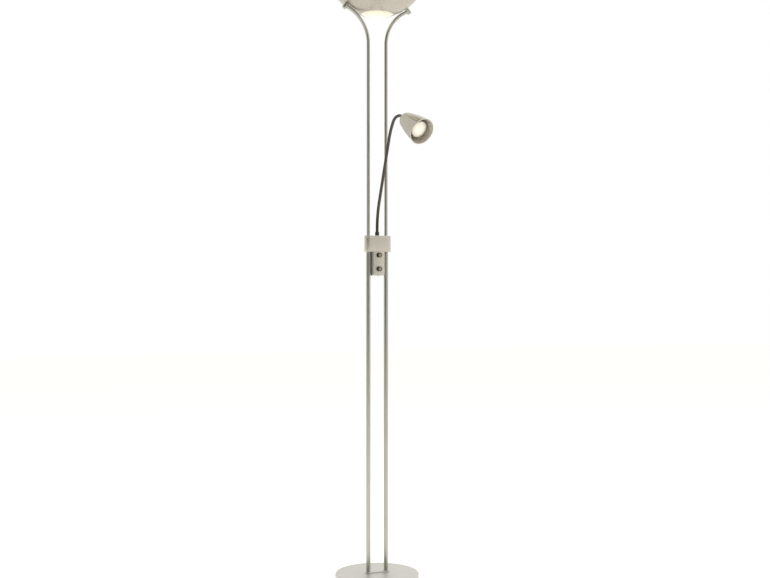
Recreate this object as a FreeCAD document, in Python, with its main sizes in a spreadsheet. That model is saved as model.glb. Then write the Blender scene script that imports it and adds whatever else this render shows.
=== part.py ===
"""Torchiere floor lamp with a reading light on a bent gooseneck.

Millimetres, +Z up. The origin is on the floor under the middle of the round base. The two poles
stand side by side along X, and the front, with its two control knobs, faces -Y.
"""
import FreeCAD, Part
import math
import os
import Sketcher

# ---------------------------------------------------------------- driving dimensions

SIZES = {
    # Whole lamp.
    "lamp_height": 1800.0,
    "pole_offset": 28.2,
    # Base: felt pad, cast weight and spun cover.
    "base_radius": 125.0,
    "base_height": 25.0,
    "cover_wall": 1.5,
    "cover_edge": 6.0,
    "cover_lift": 1.0,
    "pad_inset": 7.0,
    "pad_thickness": 2.0,
    "weight_inset": 4.0,
    "weight_thickness": 14.0,
    "weight_recess": 8.0,
    "recess_radius": 10.0,
    "spacer_radius": 9.0,
    "foot_thickness": 3.0,
    "foot_radius": 10.0,
    # Cord gland at the back of the base.
    "gland_height": 12.0,
    "gland_bore_radius": 3.5,
    "gland_barrel_radius": 6.0,
    "gland_flange_radius": 7.5,
    "gland_flange": 2.0,
    "gland_length": 12.0,
    # Poles.
    "lower_tube_radius": 6.5,
    "upper_tube_radius": 5.0,
    "tube_wall": 1.0,
    "upper_tail": 40.0,
    "bush_length": 20.0,
    "arm_turn_angle": 66.0,
    "arm_tail": 6.0,
    # Lamp thread: hollow nipples, nuts and washers.
    "thread_radius": 4.0,
    "nipple_bore_radius": 2.75,
    "nut_width": 13.0,
    "nut_thickness": 4.0,
    "washer_radius": 8.0,
    "washer_thickness": 1.2,
    "fit": 0.2,
    # Collar that clamps the poles.
    "collar_bottom": 982.0,
    "collar_height": 48.0,
    "collar_radius": 13.0,
    "collar_setback": 3.0,
    "cap_thickness": 6.0,
    "tube_seat": 22.0,
    "cavity_half_width": 9.5,
    "cavity_front": 10.0,
    "cavity_back": 7.0,
    "edge_break": 0.5,
    "grub_radius": 2.0,
    "grub_sink": 0.4,
    # Control box below the collar.
    "box_half_width": 18.0,
    "box_height": 71.0,
    "box_back": 9.0,
    "box_wall": 1.5,
    "box_corner": 4.0,
    "box_edge": 1.2,
    "screw_radius": 1.5,
    "screw_head_radius": 2.6,
    "screw_head": 1.8,
    "box_screw_offset": 13.0,
    "box_screw_length": 12.0,
    "tongue_half_width": 4.0,
    "tongue_thickness": 3.0,
    "tongue_reach": 8.0,
    # Board in the box and the parts on its back.
    "board_thickness": 1.6,
    "board_side_gap": 2.0,
    "board_end_gap": 1.0,
    "post_radius": 2.0,
    "post_inset": 4.0,
    "lower_post_rise": 8.0,
    "upper_post_drop": 6.0,
    "terminal_rise": 8.0,
    "terminal_height": 12.0,
    "terminal_depth": 7.0,
    "component_gap": 3.0,
    "choke_radius": 6.4,
    "choke_depth": 8.0,
    "choke_rise": 12.0,
    "capacitor_radius": 2.0,
    "capacitor_length": 8.0,
    "triac_height": 8.0,
    "triac_depth": 4.0,
    # Dimmers and their knobs.
    "upper_knob_drop": 10.0,
    "knob_spacing": 41.0,
    "dimmer_half_width": 8.0,
    "dimmer_depth": 10.5,
    "shaft_radius": 3.0,
    "shaft_clearance": 0.1,
    "bushing_radius": 3.6,
    "bushing_length": 4.5,
    "dimmer_nut_width": 10.0,
    "dimmer_nut_thickness": 2.2,
    "knob_radius": 7.0,
    "knob_gap": 0.6,
    "knob_length": 8.9,
    "knob_wall": 0.9,
    "knob_recess": 3.2,
    "knob_edge": 0.5,
    "knob_cap_thickness": 0.8,
    # Leads inside the lamp.
    "lead_radius": 1.5,
    "lead_clearance": 0.6,
    "lead_bend": 6.0,
    "lead_offset": 6.0,
    "lead_cross_height": 30.0,
    "boss_lead_bend": 4.0,
    # Gooseneck.
    "neck_radius": 4.5,
    "neck_bore_radius": 1.8,
    "neck_azimuth": 16.7,
    "neck_rise": 20.0,
    "neck_lower_bend": 330.0,
    "neck_lean_angle": 14.5,
    "neck_straight": 188.0,
    "neck_upper_bend": 190.0,
    "neck_crook_angle": 30.0,
    "neck_hook_bend": 30.0,
    "head_angle": 120.6,
    "ferrule_radius": 6.5,
    "base_ferrule_length": 12.0,
    "head_ferrule_length": 6.0,
    "joint_gap": 0.05,
    "joint_relief_angle": 6.5,
    # Reading shade and its lamp.
    "shade_length": 99.0,
    "shade_mouth_radius": 38.5,
    "shade_wall": 1.2,
    "shade_rear_radius": 9.0,
    "shade_dome_radius": 35.0,
    "shade_dome_depth": 25.0,
    "shade_waist_radius": 26.5,
    "shade_lip": 0.8,
    "holder_radius": 12.0,
    "holder_length": 14.0,
    "holder_socket": 4.0,
    "bracket_wall": 1.2,
    "bracket_length": 17.0,
    "lamp_recess": 14.6,
    "lamp_face_radius": 25.0,
    "lamp_rim": 4.0,
    "lamp_flare_radius": 75.0,
    "lamp_pin_radius": 10.0,
    "lens_radius": 22.0,
    "lens_thickness": 3.0,
    # Uplight bowl.
    "bowl_radius": 155.0,
    "rim_inset": 5.3,
    "bowl_wall": 1.2,
    "bead_radius": 1.3,
    "opening_radius": 50.0,
    "lip_width": 3.0,
    "glass_thickness": 2.0,
    "glass_sag": 8.0,
    "glass_flange": 2.0,
    "ring_width": 6.0,
    "ring_thickness": 1.5,
    # Bosses that carry the bowl on the arms.
    "boss_angle": 37.8,
    "boss_radius": 6.5,
    "boss_length": 16.0,
    "boss_seat": 1.5,
    "boss_seat_radius": 5.0,
    "boss_end_wall": 2.5,
    "bowl_nipple_length": 13.5,
    "bowl_nipple_gap": 5.0,
    # Lamp bracket, holders, lamp and guard glass in the bowl.
    "strip_half_width": 12.0,
    "strip_thickness": 1.5,
    "strip_end": 11.0,
    "socket_inner_face": 55.0,
    "socket_thickness": 14.0,
    "socket_half_depth": 9.0,
    "socket_height": 30.5,
    "socket_recess": 4.0,
    "uplight_axis_height": 22.5,
    "uplight_radius": 5.0,
    "uplight_cap_radius": 4.0,
    "uplight_cap_length": 14.0,
    "uplight_shoulder": 2.0,
    "guard_half_depth": 28.0,
    "guard_thickness": 3.0,
    "clip_thickness": 1.0,
    "clip_half_width": 5.0,
    "clip_grip": 5.0,
    "clip_leg": 8.0,
}

NECK_SEGMENTS = 8

doc = FreeCAD.newDocument("torchiere_floor_lamp")
sheet = doc.addObject("Spreadsheet::Sheet", "sizes")
for row, (alias, size) in enumerate(SIZES.items(), start=1):
    sheet.set(f"A{row}", alias)
    sheet.set(f"B{row}", str(size))
    sheet.setAlias(f"B{row}", alias)
doc.recompute()


class Size:
    """A size with its number and the sheet formula that gives it, so sums of sizes stay bound."""

    def __init__(self, value, formula):
        self.value = value
        self.formula = formula

    def __add__(self, other):
        other = sized(other)
        return Size(self.value + other.value, f"({self.formula} + {other.formula})")

    def __sub__(self, other):
        other = sized(other)
        return Size(self.value - other.value, f"({self.formula} - {other.formula})")

    def __mul__(self, other):
        other = sized(other)
        return Size(self.value * other.value, f"({self.formula} * {other.formula})")

    def __truediv__(self, other):
        other = sized(other)
        return Size(self.value / other.value, f"({self.formula} / {other.formula})")

    def __radd__(self, other):
        return sized(other) + self

    def __rsub__(self, other):
        return sized(other) - self

    def __rmul__(self, other):
        return sized(other) * self

    def __neg__(self):
        return sized(0) - self


def sized(item):
    """Any number as a Size; a Size stays as it is."""
    if isinstance(item, Size):
        return item
    return Size(item, f"({item})")


def cell(alias):
    return Size(float(getattr(sheet, alias)), f"sizes.{alias}")


def root(item):
    return Size(math.sqrt(item.value), f"sqrt({item.formula})")


def sine(angle):
    return Size(math.sin(math.radians(angle.value)), f"sin({angle.formula})")


def cosine(angle):
    return Size(math.cos(math.radians(angle.value)), f"cos({angle.formula})")


# ---------------------------------------------------------------- shape helpers

TOUCH = 0.01
UP = FreeCAD.Vector(0, 0, 1)
FRONT = FreeCAD.Vector(0, -1, 0)
BACK = FreeCAD.Vector(0, 1, 0)
pieces = {}


def point(x, y, z):
    return FreeCAD.Vector(sized(x).value, sized(y).value, sized(z).value)


def aimed(at, toward=UP):
    """A placement at a point, with local +Z turned towards a direction."""
    return FreeCAD.Placement(at, FreeCAD.Rotation(UP, toward))


def bind(thing, prop, size):
    thing.setExpression(prop, sized(size).formula)


def bind_place(thing, x, y, z):
    bind(thing, "Placement.Base.x", x)
    bind(thing, "Placement.Base.y", y)
    bind(thing, "Placement.Base.z", z)


def keep(label, thing):
    """Marks a finished piece: its label names its file."""
    thing.Label = label
    pieces[label] = thing
    return thing


def arc_of(start, end, radius, side):
    """A short arc between two corners, centre on the left (side 1) or the right (side -1)."""
    chord = end - start
    lift = math.sqrt(max(radius ** 2 - (chord.Length / 2) ** 2, 0.0))
    left = FreeCAD.Vector(-chord.y, chord.x, 0).normalize()
    centre = (start + end) * 0.5 + left * (lift * side)
    first, last = (start, end) if side > 0 else (end, start)
    first_angle = math.atan2(first.y - centre.y, first.x - centre.x)
    last_angle = math.atan2(last.y - centre.y, last.x - centre.x)
    return Part.ArcOfCircle(Part.Circle(centre, UP, radius), first_angle, last_angle)


def outline_sketch(body, plane, outline):
    """A closed outline bound to the sheet.

    Each corner is (across, up), or (across, up, radius, side) where an arc leads to it.
    """
    sketch = body.newObject("Sketcher::SketchObject", body.Name + "_outline")
    support = [item for item in body.Origin.OriginFeatures if item.Role == plane][0]
    sketch.AttachmentSupport = [(support, "")]
    sketch.MapMode = "FlatFace"
    count = len(outline)
    corners = [FreeCAD.Vector(sized(c[0]).value, sized(c[1]).value, 0) for c in outline]
    ends = []
    for index in range(count):
        start, end = corners[index], corners[(index + 1) % count]
        target = outline[(index + 1) % count]
        if len(target) == 4:
            sketch.addGeometry(arc_of(start, end, sized(target[2]).value, target[3]), False)
            ends.append((1, 2) if target[3] > 0 else (2, 1))
        else:
            sketch.addGeometry(Part.LineSegment(start, end), False)
            ends.append((1, 2))
    for index in range(count):
        follower = (index + 1) % count
        joined = (index, ends[index][1], follower, ends[follower][0])
        sketch.addConstraint(Sketcher.Constraint("Coincident", *joined))
        for kind, axis, size in (("DistanceX", -2, outline[index][0]),
                                 ("DistanceY", -1, outline[index][1])):
            if isinstance(size, Size):
                place = (-1, 1, index, ends[index][0], size.value)
                number = sketch.addConstraint(Sketcher.Constraint(kind, *place))
                bind(sketch, f"Constraints[{number}]", size)
            else:
                on_axis = (index, ends[index][0], axis)
                sketch.addConstraint(Sketcher.Constraint("PointOnObject", *on_axis))
        target = outline[follower]
        if len(target) == 4:
            radius = Sketcher.Constraint("Radius", index, sized(target[2]).value)
            bind(sketch, f"Constraints[{sketch.addConstraint(radius)}]", target[2])
    return sketch


def turned(name, outline, at=FreeCAD.Vector(), toward=UP):
    """A turned or spun piece: an outline of (radius, height) corners taken once round its axis."""
    body = doc.addObject("PartDesign::Body", name)
    sketch = outline_sketch(body, "XZ_Plane", outline)
    spin = body.newObject("PartDesign::Revolution", name + "_turn")
    spin.Profile = sketch
    spin.ReferenceAxis = (sketch, ["V_Axis"])
    spin.Angle = 360
    sketch.Visibility = False
    body.Placement = aimed(at, toward)
    return body


def ring(name, outer, inner, low, high, at=FreeCAD.Vector(), toward=UP):
    """A plain tube, bush or washer between two heights on its axis."""
    outline = [(inner, low), (outer, low), (outer, high), (inner, high)]
    return turned(name, outline, at, toward)


def disc(name, radius, low, high, at=FreeCAD.Vector(), toward=UP):
    return turned(name, [(0, low), (radius, low), (radius, high), (0, high)], at, toward)


def rod(name, radius, length, at, toward=UP):
    """A cylinder from a point along a direction, used as a pin or as a drill."""
    cylinder = doc.addObject("Part::Cylinder", name)
    bind(cylinder, "Radius", radius)
    bind(cylinder, "Height", length)
    cylinder.Placement = aimed(at, toward)
    return cylinder


def block(name, x, y, z):
    """A box between pairs of sizes along X, Y and Z."""
    box = doc.addObject("Part::Box", name)
    bind(box, "Length", sized(x[1]) - x[0])
    bind(box, "Width", sized(y[1]) - y[0])
    bind(box, "Height", sized(z[1]) - z[0])
    bind_place(box, x[0], y[0], z[0])
    return box


def hexagon(name, width, thickness, at, toward=UP):
    """A hexagonal prism measured across its flats."""
    prism = doc.addObject("Part::Prism", name)
    prism.Polygon = 6
    bind(prism, "Circumradius", width / math.sqrt(3))
    bind(prism, "Height", thickness)
    prism.Placement = aimed(at, toward)
    return prism


def stadium(name, half_spacing, radius, y, low, high):
    """A flat plate with two round ends, centred on both poles."""
    middle = block(name + "_middle", (-half_spacing, half_spacing), (y - radius, y + radius),
                   (low, high))
    ends = []
    for side, sign in (("left", -1), ("right", 1)):
        end = doc.addObject("Part::Cylinder", f"{name}_{side}_end")
        bind(end, "Radius", radius)
        bind(end, "Height", high - low)
        bind_place(end, half_spacing * sign, y, low)
        ends.append(end)
    return fused(name, [middle] + ends)


def fused(name, things):
    whole = doc.addObject("Part::MultiFuse", name)
    whole.Shapes = things
    whole.Refine = True
    return whole


def group(name, things):
    """Several separate solids that share one node."""
    whole = doc.addObject("Part::Compound", name)
    whole.Links = things
    return whole


def cut(name, base, tools):
    """A piece with holes or hollows taken out of it."""
    result = doc.addObject("Part::Cut", name)
    result.Base = base
    result.Tool = tools[0] if len(tools) == 1 else group(name + "_tools", tools)
    return result


def eased(name, base, size, wanted, kind="Part::Chamfer"):
    """Chamfers or fillets on the edges whose ends pass the test."""
    doc.recompute()
    result = doc.addObject(kind, name)
    result.Base = base
    result.Edges = [(number, size.value, size.value)
                    for number, edge in enumerate(base.Shape.Edges, start=1) if wanted(edge)]
    return result


def swept(wire, radius):
    """A solid of round section along a wire."""
    start = wire.Vertexes[0].Point
    direction = wire.Edges[0].tangentAt(wire.Edges[0].FirstParameter)
    section = Part.Wire([Part.makeCircle(radius, start, direction)])
    return wire.makePipeShell([section], True, True)


def feature(name, shape):
    thing = doc.addObject("Part::Feature", name)
    thing.Shape = shape
    return thing


def routed(points, bend):
    """A wire through hand-chosen points, with a tangent arc at each corner."""
    edges = []
    last = points[0]
    for before, corner, after in zip(points, points[1:], points[2:]):
        arriving = (corner - before).normalize()
        leaving = (after - corner).normalize()
        half_turn = arriving.getAngle(leaving) / 2
        reach = bend * math.tan(half_turn)
        start = corner - arriving * reach
        end = corner + leaving * reach
        inward = (leaving - arriving).normalize()
        middle = corner + inward * (bend / math.cos(half_turn) - bend)
        edges.append(Part.LineSegment(last, start).toShape())
        edges.append(Part.Arc(start, middle, end).toShape())
        last = end
    edges.append(Part.LineSegment(last, points[-1]).toShape())
    return Part.Wire(edges)


# ---------------------------------------------------------------- shared places

pole_offset = cell("pole_offset")
fit = cell("fit")
thread = cell("thread_radius")
thread_hole = thread + fit
nipple_bore = cell("nipple_bore_radius")
POLES = (("left", -1), ("right", 1))


def lamp_nut(name, at, toward=UP):
    """A thin nut for the lamp thread."""
    blank = hexagon(name + "_blank", cell("nut_width"), cell("nut_thickness"), at, toward)
    hole = rod(name + "_hole", thread, cell("nut_thickness"), at, toward)
    return cut(name, blank, [hole])


nuts = []

# ---------------------------------------------------------------- base

base_radius = cell("base_radius")
base_top = cell("base_height")
pad_top = cell("pad_thickness")
weight_top = pad_top + cell("weight_thickness")
recess_top = pad_top + cell("weight_recess")
cover_wall = cell("cover_wall")
cover_edge = cell("cover_edge")
cover_under = base_top - cover_wall
foot_top = base_top + cell("foot_thickness")
gland_height = cell("gland_height")

keep("base_pad", disc("pad", base_radius - cell("pad_inset"), 0, pad_top))

weight = disc("weight", base_radius - cell("weight_inset"), pad_top, weight_top)
weight_holes = []
for side, sign in POLES:
    foot = point(pole_offset * sign, 0, pad_top)
    weight_holes.append(rod(f"weight_{side}_hole", thread_hole, cell("weight_thickness"), foot))
    weight_holes.append(rod(f"weight_{side}_recess", cell("recess_radius"), cell("weight_recess"), foot))
gland_room = cell("gland_flange_radius") + fit
weight_holes.append(block("weight_notch", (-gland_room, gland_room),
                          (base_radius - cell("gland_length") - cell("gland_flange"), base_radius),
                          (pad_top, weight_top)))
keep("base_weight", cut("weight_cut", weight, weight_holes))

cover_low = cell("cover_lift")
inner_radius = base_radius - cover_wall
inner_edge = cover_edge - cover_wall
cover = turned("cover", [
    (inner_radius, cover_low),
    (base_radius, cover_low),
    (base_radius, base_top - cover_edge),
    (base_radius - cover_edge, base_top, cover_edge, 1),
    (0, base_top),
    (0, cover_under),
    (base_radius - cover_edge, cover_under),
    (inner_radius, base_top - cover_edge, inner_edge, -1)])
cover_holes = [rod(f"cover_{side}_hole", thread_hole, base_top,
                   point(pole_offset * sign, 0, cover_low)) for side, sign in POLES]
cover_holes.append(rod("cover_gland_hole", cell("gland_barrel_radius"), base_radius,
                       point(0, 0, gland_height), BACK))
keep("base_cover", cut("cover_cut", cover, cover_holes))

keep("base_spacers", group("spacers", [
    ring(f"{side}_spacer", cell("spacer_radius"), thread_hole, weight_top, cover_under,
         point(pole_offset * sign, 0, 0)) for side, sign in POLES]))

gland_inner = base_radius - cell("gland_length")
gland_barrel = ring("gland_barrel", cell("gland_barrel_radius"), cell("gland_bore_radius"),
                    gland_inner, base_radius + cell("gland_flange"), point(0, 0, gland_height), BACK)
gland_flange = ring("gland_flange", cell("gland_flange_radius"), cell("gland_bore_radius"),
                    base_radius - cell("gland_flange"), base_radius + cell("gland_flange"),
                    point(0, 0, gland_height), BACK)
gland_saddle = rod("gland_saddle", base_radius, base_top, point(0, 0, 0))
keep("cord_gland", fused("gland", [gland_barrel, cut("gland_rim", gland_flange, [gland_saddle])]))

foot_plate = stadium("foot", pole_offset, cell("foot_radius"), sized(0), base_top, foot_top)
keep("foot_plate", cut("foot_cut", foot_plate, [
    rod(f"foot_{side}_hole", thread_hole, cell("foot_thickness"),
        point(pole_offset * sign, 0, base_top)) for side, sign in POLES]))

# ---------------------------------------------------------------- poles and bowl geometry

tube_wall = cell("tube_wall")
lower_radius = cell("lower_tube_radius")
upper_radius = cell("upper_tube_radius")
collar_bottom = cell("collar_bottom")
collar_top = collar_bottom + cell("collar_height")
cap_bottom = collar_top - cell("cap_thickness")
seat_height = collar_bottom + cell("tube_seat")
lead_cross = collar_bottom + cell("lead_cross_height")
lead_hole = cell("lead_radius") + cell("lead_clearance")
bush_top = foot_top + cell("bush_length")
washer_low = recess_top - cell("washer_thickness")
nut_low = washer_low - cell("nut_thickness")
nipple_low = (pad_top + nut_low) / 2

keep("pole_nipples", group("nipples", [
    ring(f"{side}_nipple", thread, nipple_bore, nipple_low, bush_top - fit,
         point(pole_offset * sign, 0, 0)) for side, sign in POLES]))
keep("pole_bushes", group("bushes", [
    ring(f"{side}_bush", lower_radius - tube_wall, thread, foot_top, bush_top,
         point(pole_offset * sign, 0, 0)) for side, sign in POLES]))
keep("pole_washers", group("washers", [
    ring(f"{side}_washer", cell("washer_radius"), thread_hole, washer_low, recess_top,
         point(pole_offset * sign, 0, 0)) for side, sign in POLES]))
nuts += [lamp_nut(f"{side}_pole_nut", point(pole_offset * sign, 0, nut_low)) for side, sign in POLES]

for side, sign in POLES:
    keep(f"{side}_lower_tube", ring(f"{side}_lower", lower_radius, lower_radius - tube_wall,
                                    foot_top, seat_height, point(pole_offset * sign, 0, 0)))

bowl_radius = cell("bowl_radius")
bowl_inside = bowl_radius - cell("bowl_wall")
rim_radius = bowl_radius - cell("rim_inset")
rim_height = cell("lamp_height") - cell("bead_radius")
sphere_height = rim_height + root(bowl_radius * bowl_radius - rim_radius * rim_radius)
boss_angle = cell("boss_angle")
boss_face = root(bowl_radius * bowl_radius - thread_hole * thread_hole)
boss_inner = boss_face + cell("boss_seat")
boss_middle = boss_inner + cell("boss_length") / 2
boss_outer = boss_inner + cell("boss_length")


def on_boss_axis(distance, sign):
    """A point on a boss axis, at a distance from the centre of the bowl's sphere."""
    return point(sized(distance) * sine(boss_angle) * sign, 0,
                 sphere_height - sized(distance) * cosine(boss_angle))


def boss_direction(sign):
    """The direction of a boss axis, from the bowl outwards."""
    return point(sine(boss_angle) * sign, 0, -cosine(boss_angle))


def arm_wire(sign):
    """Centre line of an upper tube: straight up, then one bend outwards, then into its boss."""
    turn = math.radians(cell("arm_turn_angle").value)
    end = on_boss_axis(boss_middle, sign)
    run = abs(end.x) - pole_offset.value
    straight = cell("arm_tail").value
    radius = (run - straight * math.sin(turn)) / (1 - math.cos(turn))
    bend_start = point(pole_offset * sign, 0, end.z - straight * math.cos(turn) - radius * math.sin(turn))
    bend_middle = bend_start + point(sign * radius * (1 - math.cos(turn / 2)), 0,
                                     radius * math.sin(turn / 2))
    bend_end = end - point(sign * straight * math.sin(turn), 0, straight * math.cos(turn))
    bottom = point(pole_offset * sign, 0, seat_height - cell("upper_tail"))
    return Part.Wire([Part.LineSegment(bottom, bend_start).toShape(),
                      Part.Arc(bend_start, bend_middle, bend_end).toShape(),
                      Part.LineSegment(bend_end, end).toShape()])


boss_bodies = []
for side, sign in POLES:
    centre_line = arm_wire(sign)
    hollow = swept(centre_line, (upper_radius - tube_wall).value)
    arm = feature(f"{side}_arm", swept(centre_line, upper_radius.value).cut(hollow))
    boss_room = rod(f"{side}_boss_room", cell("boss_radius"), cell("boss_length"),
                    on_boss_axis(boss_inner, sign), boss_direction(sign))
    wire_hole = rod(f"{side}_wire_hole", lead_hole, pole_offset,
                    point(0, 0, lead_cross), point(sign, 0, 0))
    keep(f"{side}_upper_tube", cut(f"{side}_arm_cut", arm, [boss_room, wire_hole]))
    boss = turned(f"{side}_boss_blank", [
        (thread, boss_face),
        (cell("boss_seat_radius"), boss_face),
        (cell("boss_seat_radius"), boss_inner),
        (cell("boss_radius"), boss_inner),
        (cell("boss_radius"), boss_outer),
        (0, boss_outer),
        (0, boss_outer - cell("boss_end_wall")),
        (thread, boss_outer - cell("boss_end_wall"))],
        point(0, 0, sphere_height), boss_direction(sign))
    arm_end = feature(f"{side}_arm_end", hollow)
    boss_bodies.append(cut(f"{side}_boss", boss, [arm_end]))
keep("arm_bosses", group("bosses", boss_bodies))

# ---------------------------------------------------------------- collar

collar_y = -cell("collar_setback")
collar_radius = cell("collar_radius")
break_size = cell("edge_break")


def collar_part(name, low, high):
    """One slice of the collar's outline, with both rims lightly chamfered."""
    blank = stadium(name + "_blank", pole_offset, collar_radius, collar_y, low, high)
    return eased(name, blank, break_size,
                 lambda edge: abs(edge.BoundBox.ZMax - edge.BoundBox.ZMin) < break_size.value)


cavity = block("collar_cavity", (-cell("cavity_half_width"), cell("cavity_half_width")),
               (-cell("cavity_front"), cell("cavity_back")), (collar_bottom, cap_bottom))
collar_tools = [cavity, rod("collar_cross", lead_hole, pole_offset * 2,
                            point(-pole_offset, 0, lead_cross), point(1, 0, 0))]
cap_tools = [rod("cap_neck_hole", thread, cell("cap_thickness"), point(0, 0, cap_bottom))]
grub_screws = []
grub_back = collar_y + collar_radius - cell("grub_sink")
for side, sign in POLES:
    foot = point(pole_offset * sign, 0, collar_bottom)
    collar_tools.append(rod(f"collar_{side}_lower", lower_radius, cell("tube_seat"), foot))
    collar_tools.append(rod(f"collar_{side}_upper", upper_radius, cell("collar_height"), foot))
    cap_tools.append(rod(f"cap_{side}_bore", upper_radius, cell("collar_height"), foot))
    for level, tube_radius, height in (
            ("lower", lower_radius, (collar_bottom + seat_height) / 2),
            ("upper", upper_radius, (seat_height + cap_bottom) / 2)):
        tip = point(pole_offset * sign, tube_radius, height)
        grub_screws.append(rod(f"{side}_{level}_grub", cell("grub_radius"),
                               grub_back - tube_radius, tip, BACK))
        collar_tools.append(rod(f"{side}_{level}_grub_hole", cell("grub_radius"),
                                collar_radius, tip, BACK))
    collar_tools.append(rod(f"collar_{side}_screw_hole", cell("screw_radius"), cell("box_screw_length"),
                            point(cell("box_screw_offset") * sign, 0, collar_bottom)))
keep("collar_body", cut("collar_cut", collar_part("collar", collar_bottom, cap_bottom), collar_tools))
keep("collar_cap", cut("cap_cut", collar_part("cap", cap_bottom, collar_top), cap_tools))
keep("collar_set_screws", group("grubs", grub_screws))

# ---------------------------------------------------------------- control box

box_half = cell("box_half_width")
box_wall = cell("box_wall")
box_front = collar_y - collar_radius
box_back = cell("box_back")
box_bottom = collar_bottom - cell("box_height")
inside_front = box_front + box_wall
inside_back = box_back - box_wall
inside_bottom = box_bottom + box_wall
inside_top = collar_bottom - box_wall
inside_half = box_half - box_wall
dimmer_depth = cell("dimmer_depth")
board_front = inside_front + dimmer_depth
board_back = board_front + cell("board_thickness")
parting = collar_y
knob_heights = {"upper": collar_bottom - cell("upper_knob_drop")}
knob_heights["lower"] = knob_heights["upper"] - cell("knob_spacing")


def bottom_corner(low):
    """A test for the two edges along Y at the bottom of a box."""
    return lambda edge: edge.BoundBox.YLength > TOUCH and edge.BoundBox.ZMax < low.value + TOUCH


def face_outline(y):
    """A test for the edges round a face across Y, apart from the one under the collar."""
    return lambda edge: (abs(edge.BoundBox.YMin - y.value) < TOUCH
                         and abs(edge.BoundBox.YMax - y.value) < TOUCH
                         and edge.BoundBox.ZMin < collar_bottom.value - TOUCH)


def box_half_shell(name, depth, outer_face):
    """Half of the control box before it is hollowed, with round bottom corners and a soft face."""
    blank = block(name + "_blank", (-box_half, box_half), depth, (box_bottom, collar_bottom))
    cornered = eased(name + "_cornered", blank, cell("box_corner"), bottom_corner(box_bottom),
                     "Part::Fillet")
    return eased(name + "_soft", cornered, cell("box_edge"), face_outline(outer_face))


def box_room(name, depth):
    """The space in one half of the control box."""
    blank = block(name, (-inside_half, inside_half), depth, (inside_bottom, inside_top))
    return eased(name + "_cornered", blank, cell("box_corner") - box_wall, bottom_corner(inside_bottom),
                 "Part::Fillet")


front_shell = box_half_shell("front", (box_front, parting), box_front)
front_room = box_room("front_room", (inside_front, parting))
rear_shell = box_half_shell("rear", (parting, box_back), box_back)
rear_room = box_room("rear_room", (parting, inside_back))

screw_radius = cell("screw_radius")
head_radius = cell("screw_head_radius")
tongue_y = parting - cell("tongue_reach")
tongue_top = inside_bottom + cell("tongue_thickness")
bottom_screw_y = parting - cell("tongue_reach") / 2
front_tools = [front_room]
for level, height in knob_heights.items():
    front_tools.append(rod(f"{level}_panel_hole", cell("bushing_radius") + cell("shaft_clearance"),
                           box_wall, point(0, inside_front, height), FRONT))
front_tools.append(rod("bottom_screw_way", screw_radius, box_wall,
                       point(0, bottom_screw_y, box_bottom)))
keep("control_box_front", cut("front_cut", front_shell, front_tools))

tongue = block("tongue", (-cell("tongue_half_width"), cell("tongue_half_width")),
               (tongue_y, inside_back), (inside_bottom, tongue_top))
posts = []
post_x = inside_half - cell("post_inset")
for level, height in (("lower", inside_bottom + cell("lower_post_rise")),
                      ("upper", inside_top - cell("upper_post_drop"))):
    for side, sign in POLES:
        posts.append(rod(f"{level}_{side}_post", cell("post_radius"), inside_back - board_back,
                         point(post_x * sign, board_back, height), BACK))
rear_tray = cut("rear_tray", rear_shell, [rear_room])
rear_tools = [block("rear_wire_way", (-cell("cavity_half_width"), cell("cavity_half_width")),
                    (board_back, inside_back), (inside_top, collar_bottom)),
              rod("tongue_screw_way", screw_radius, cell("tongue_thickness"),
                  point(0, bottom_screw_y, inside_bottom))]
box_screws = []
for side, sign in POLES:
    head_place = point(cell("box_screw_offset") * sign, 0, inside_top)
    rear_tools.append(rod(f"rear_{side}_screw_way", screw_radius, box_wall, head_place))
    shank = rod(f"{side}_box_shank", screw_radius, cell("box_screw_length"), head_place)
    head = rod(f"{side}_box_head", head_radius, cell("screw_head"), head_place, -UP)
    box_screws.append(fused(f"{side}_box_screw", [shank, head]))
under_place = point(0, bottom_screw_y, box_bottom)
box_screws.append(fused("bottom_box_screw", [
    rod("bottom_shank", screw_radius, box_wall + cell("tongue_thickness"), under_place),
    rod("bottom_head", head_radius, cell("screw_head"), under_place, -UP)]))
keep("control_box_rear", cut("rear_cut", fused("rear_whole", [rear_tray, tongue] + posts), rear_tools))
keep("box_screws", group("screws", box_screws))

# ---------------------------------------------------------------- control board and dimmers

board_half = inside_half - cell("board_side_gap")
board_low = tongue_top + cell("board_end_gap")
board_high = inside_top - cell("screw_head") - cell("board_end_gap")
keep("control_board", block("board", (-board_half, board_half), (board_front, board_back),
                            (board_low, board_high)))
terminal_top = (knob_heights["upper"] + knob_heights["lower"]) / 2 + cell("terminal_rise")
terminal_low = terminal_top - cell("terminal_height")
middle_room = post_x - cell("post_radius") - fit
terminal = block("terminal_block", (-middle_room, middle_room),
                 (board_back, board_back + cell("terminal_depth")), (terminal_low, terminal_top))
choke = rod("choke", cell("choke_radius"), cell("choke_depth"),
            point(0, board_back, board_low + cell("choke_rise")), BACK)
capacitor_low = terminal_low - cell("component_gap") - cell("capacitor_length")
capacitor = rod("capacitor", cell("capacitor_radius"), cell("capacitor_length"),
                point(-middle_room / 2, board_back + cell("capacitor_radius"), capacitor_low))
triac_top = terminal_low - cell("component_gap")
triac = block("triac", (middle_room / 2, middle_room), (board_back, board_back + cell("triac_depth")),
              (triac_top - cell("triac_height"), triac_top))
keep("board_components", group("components", [terminal, choke, capacitor, triac]))

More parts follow.
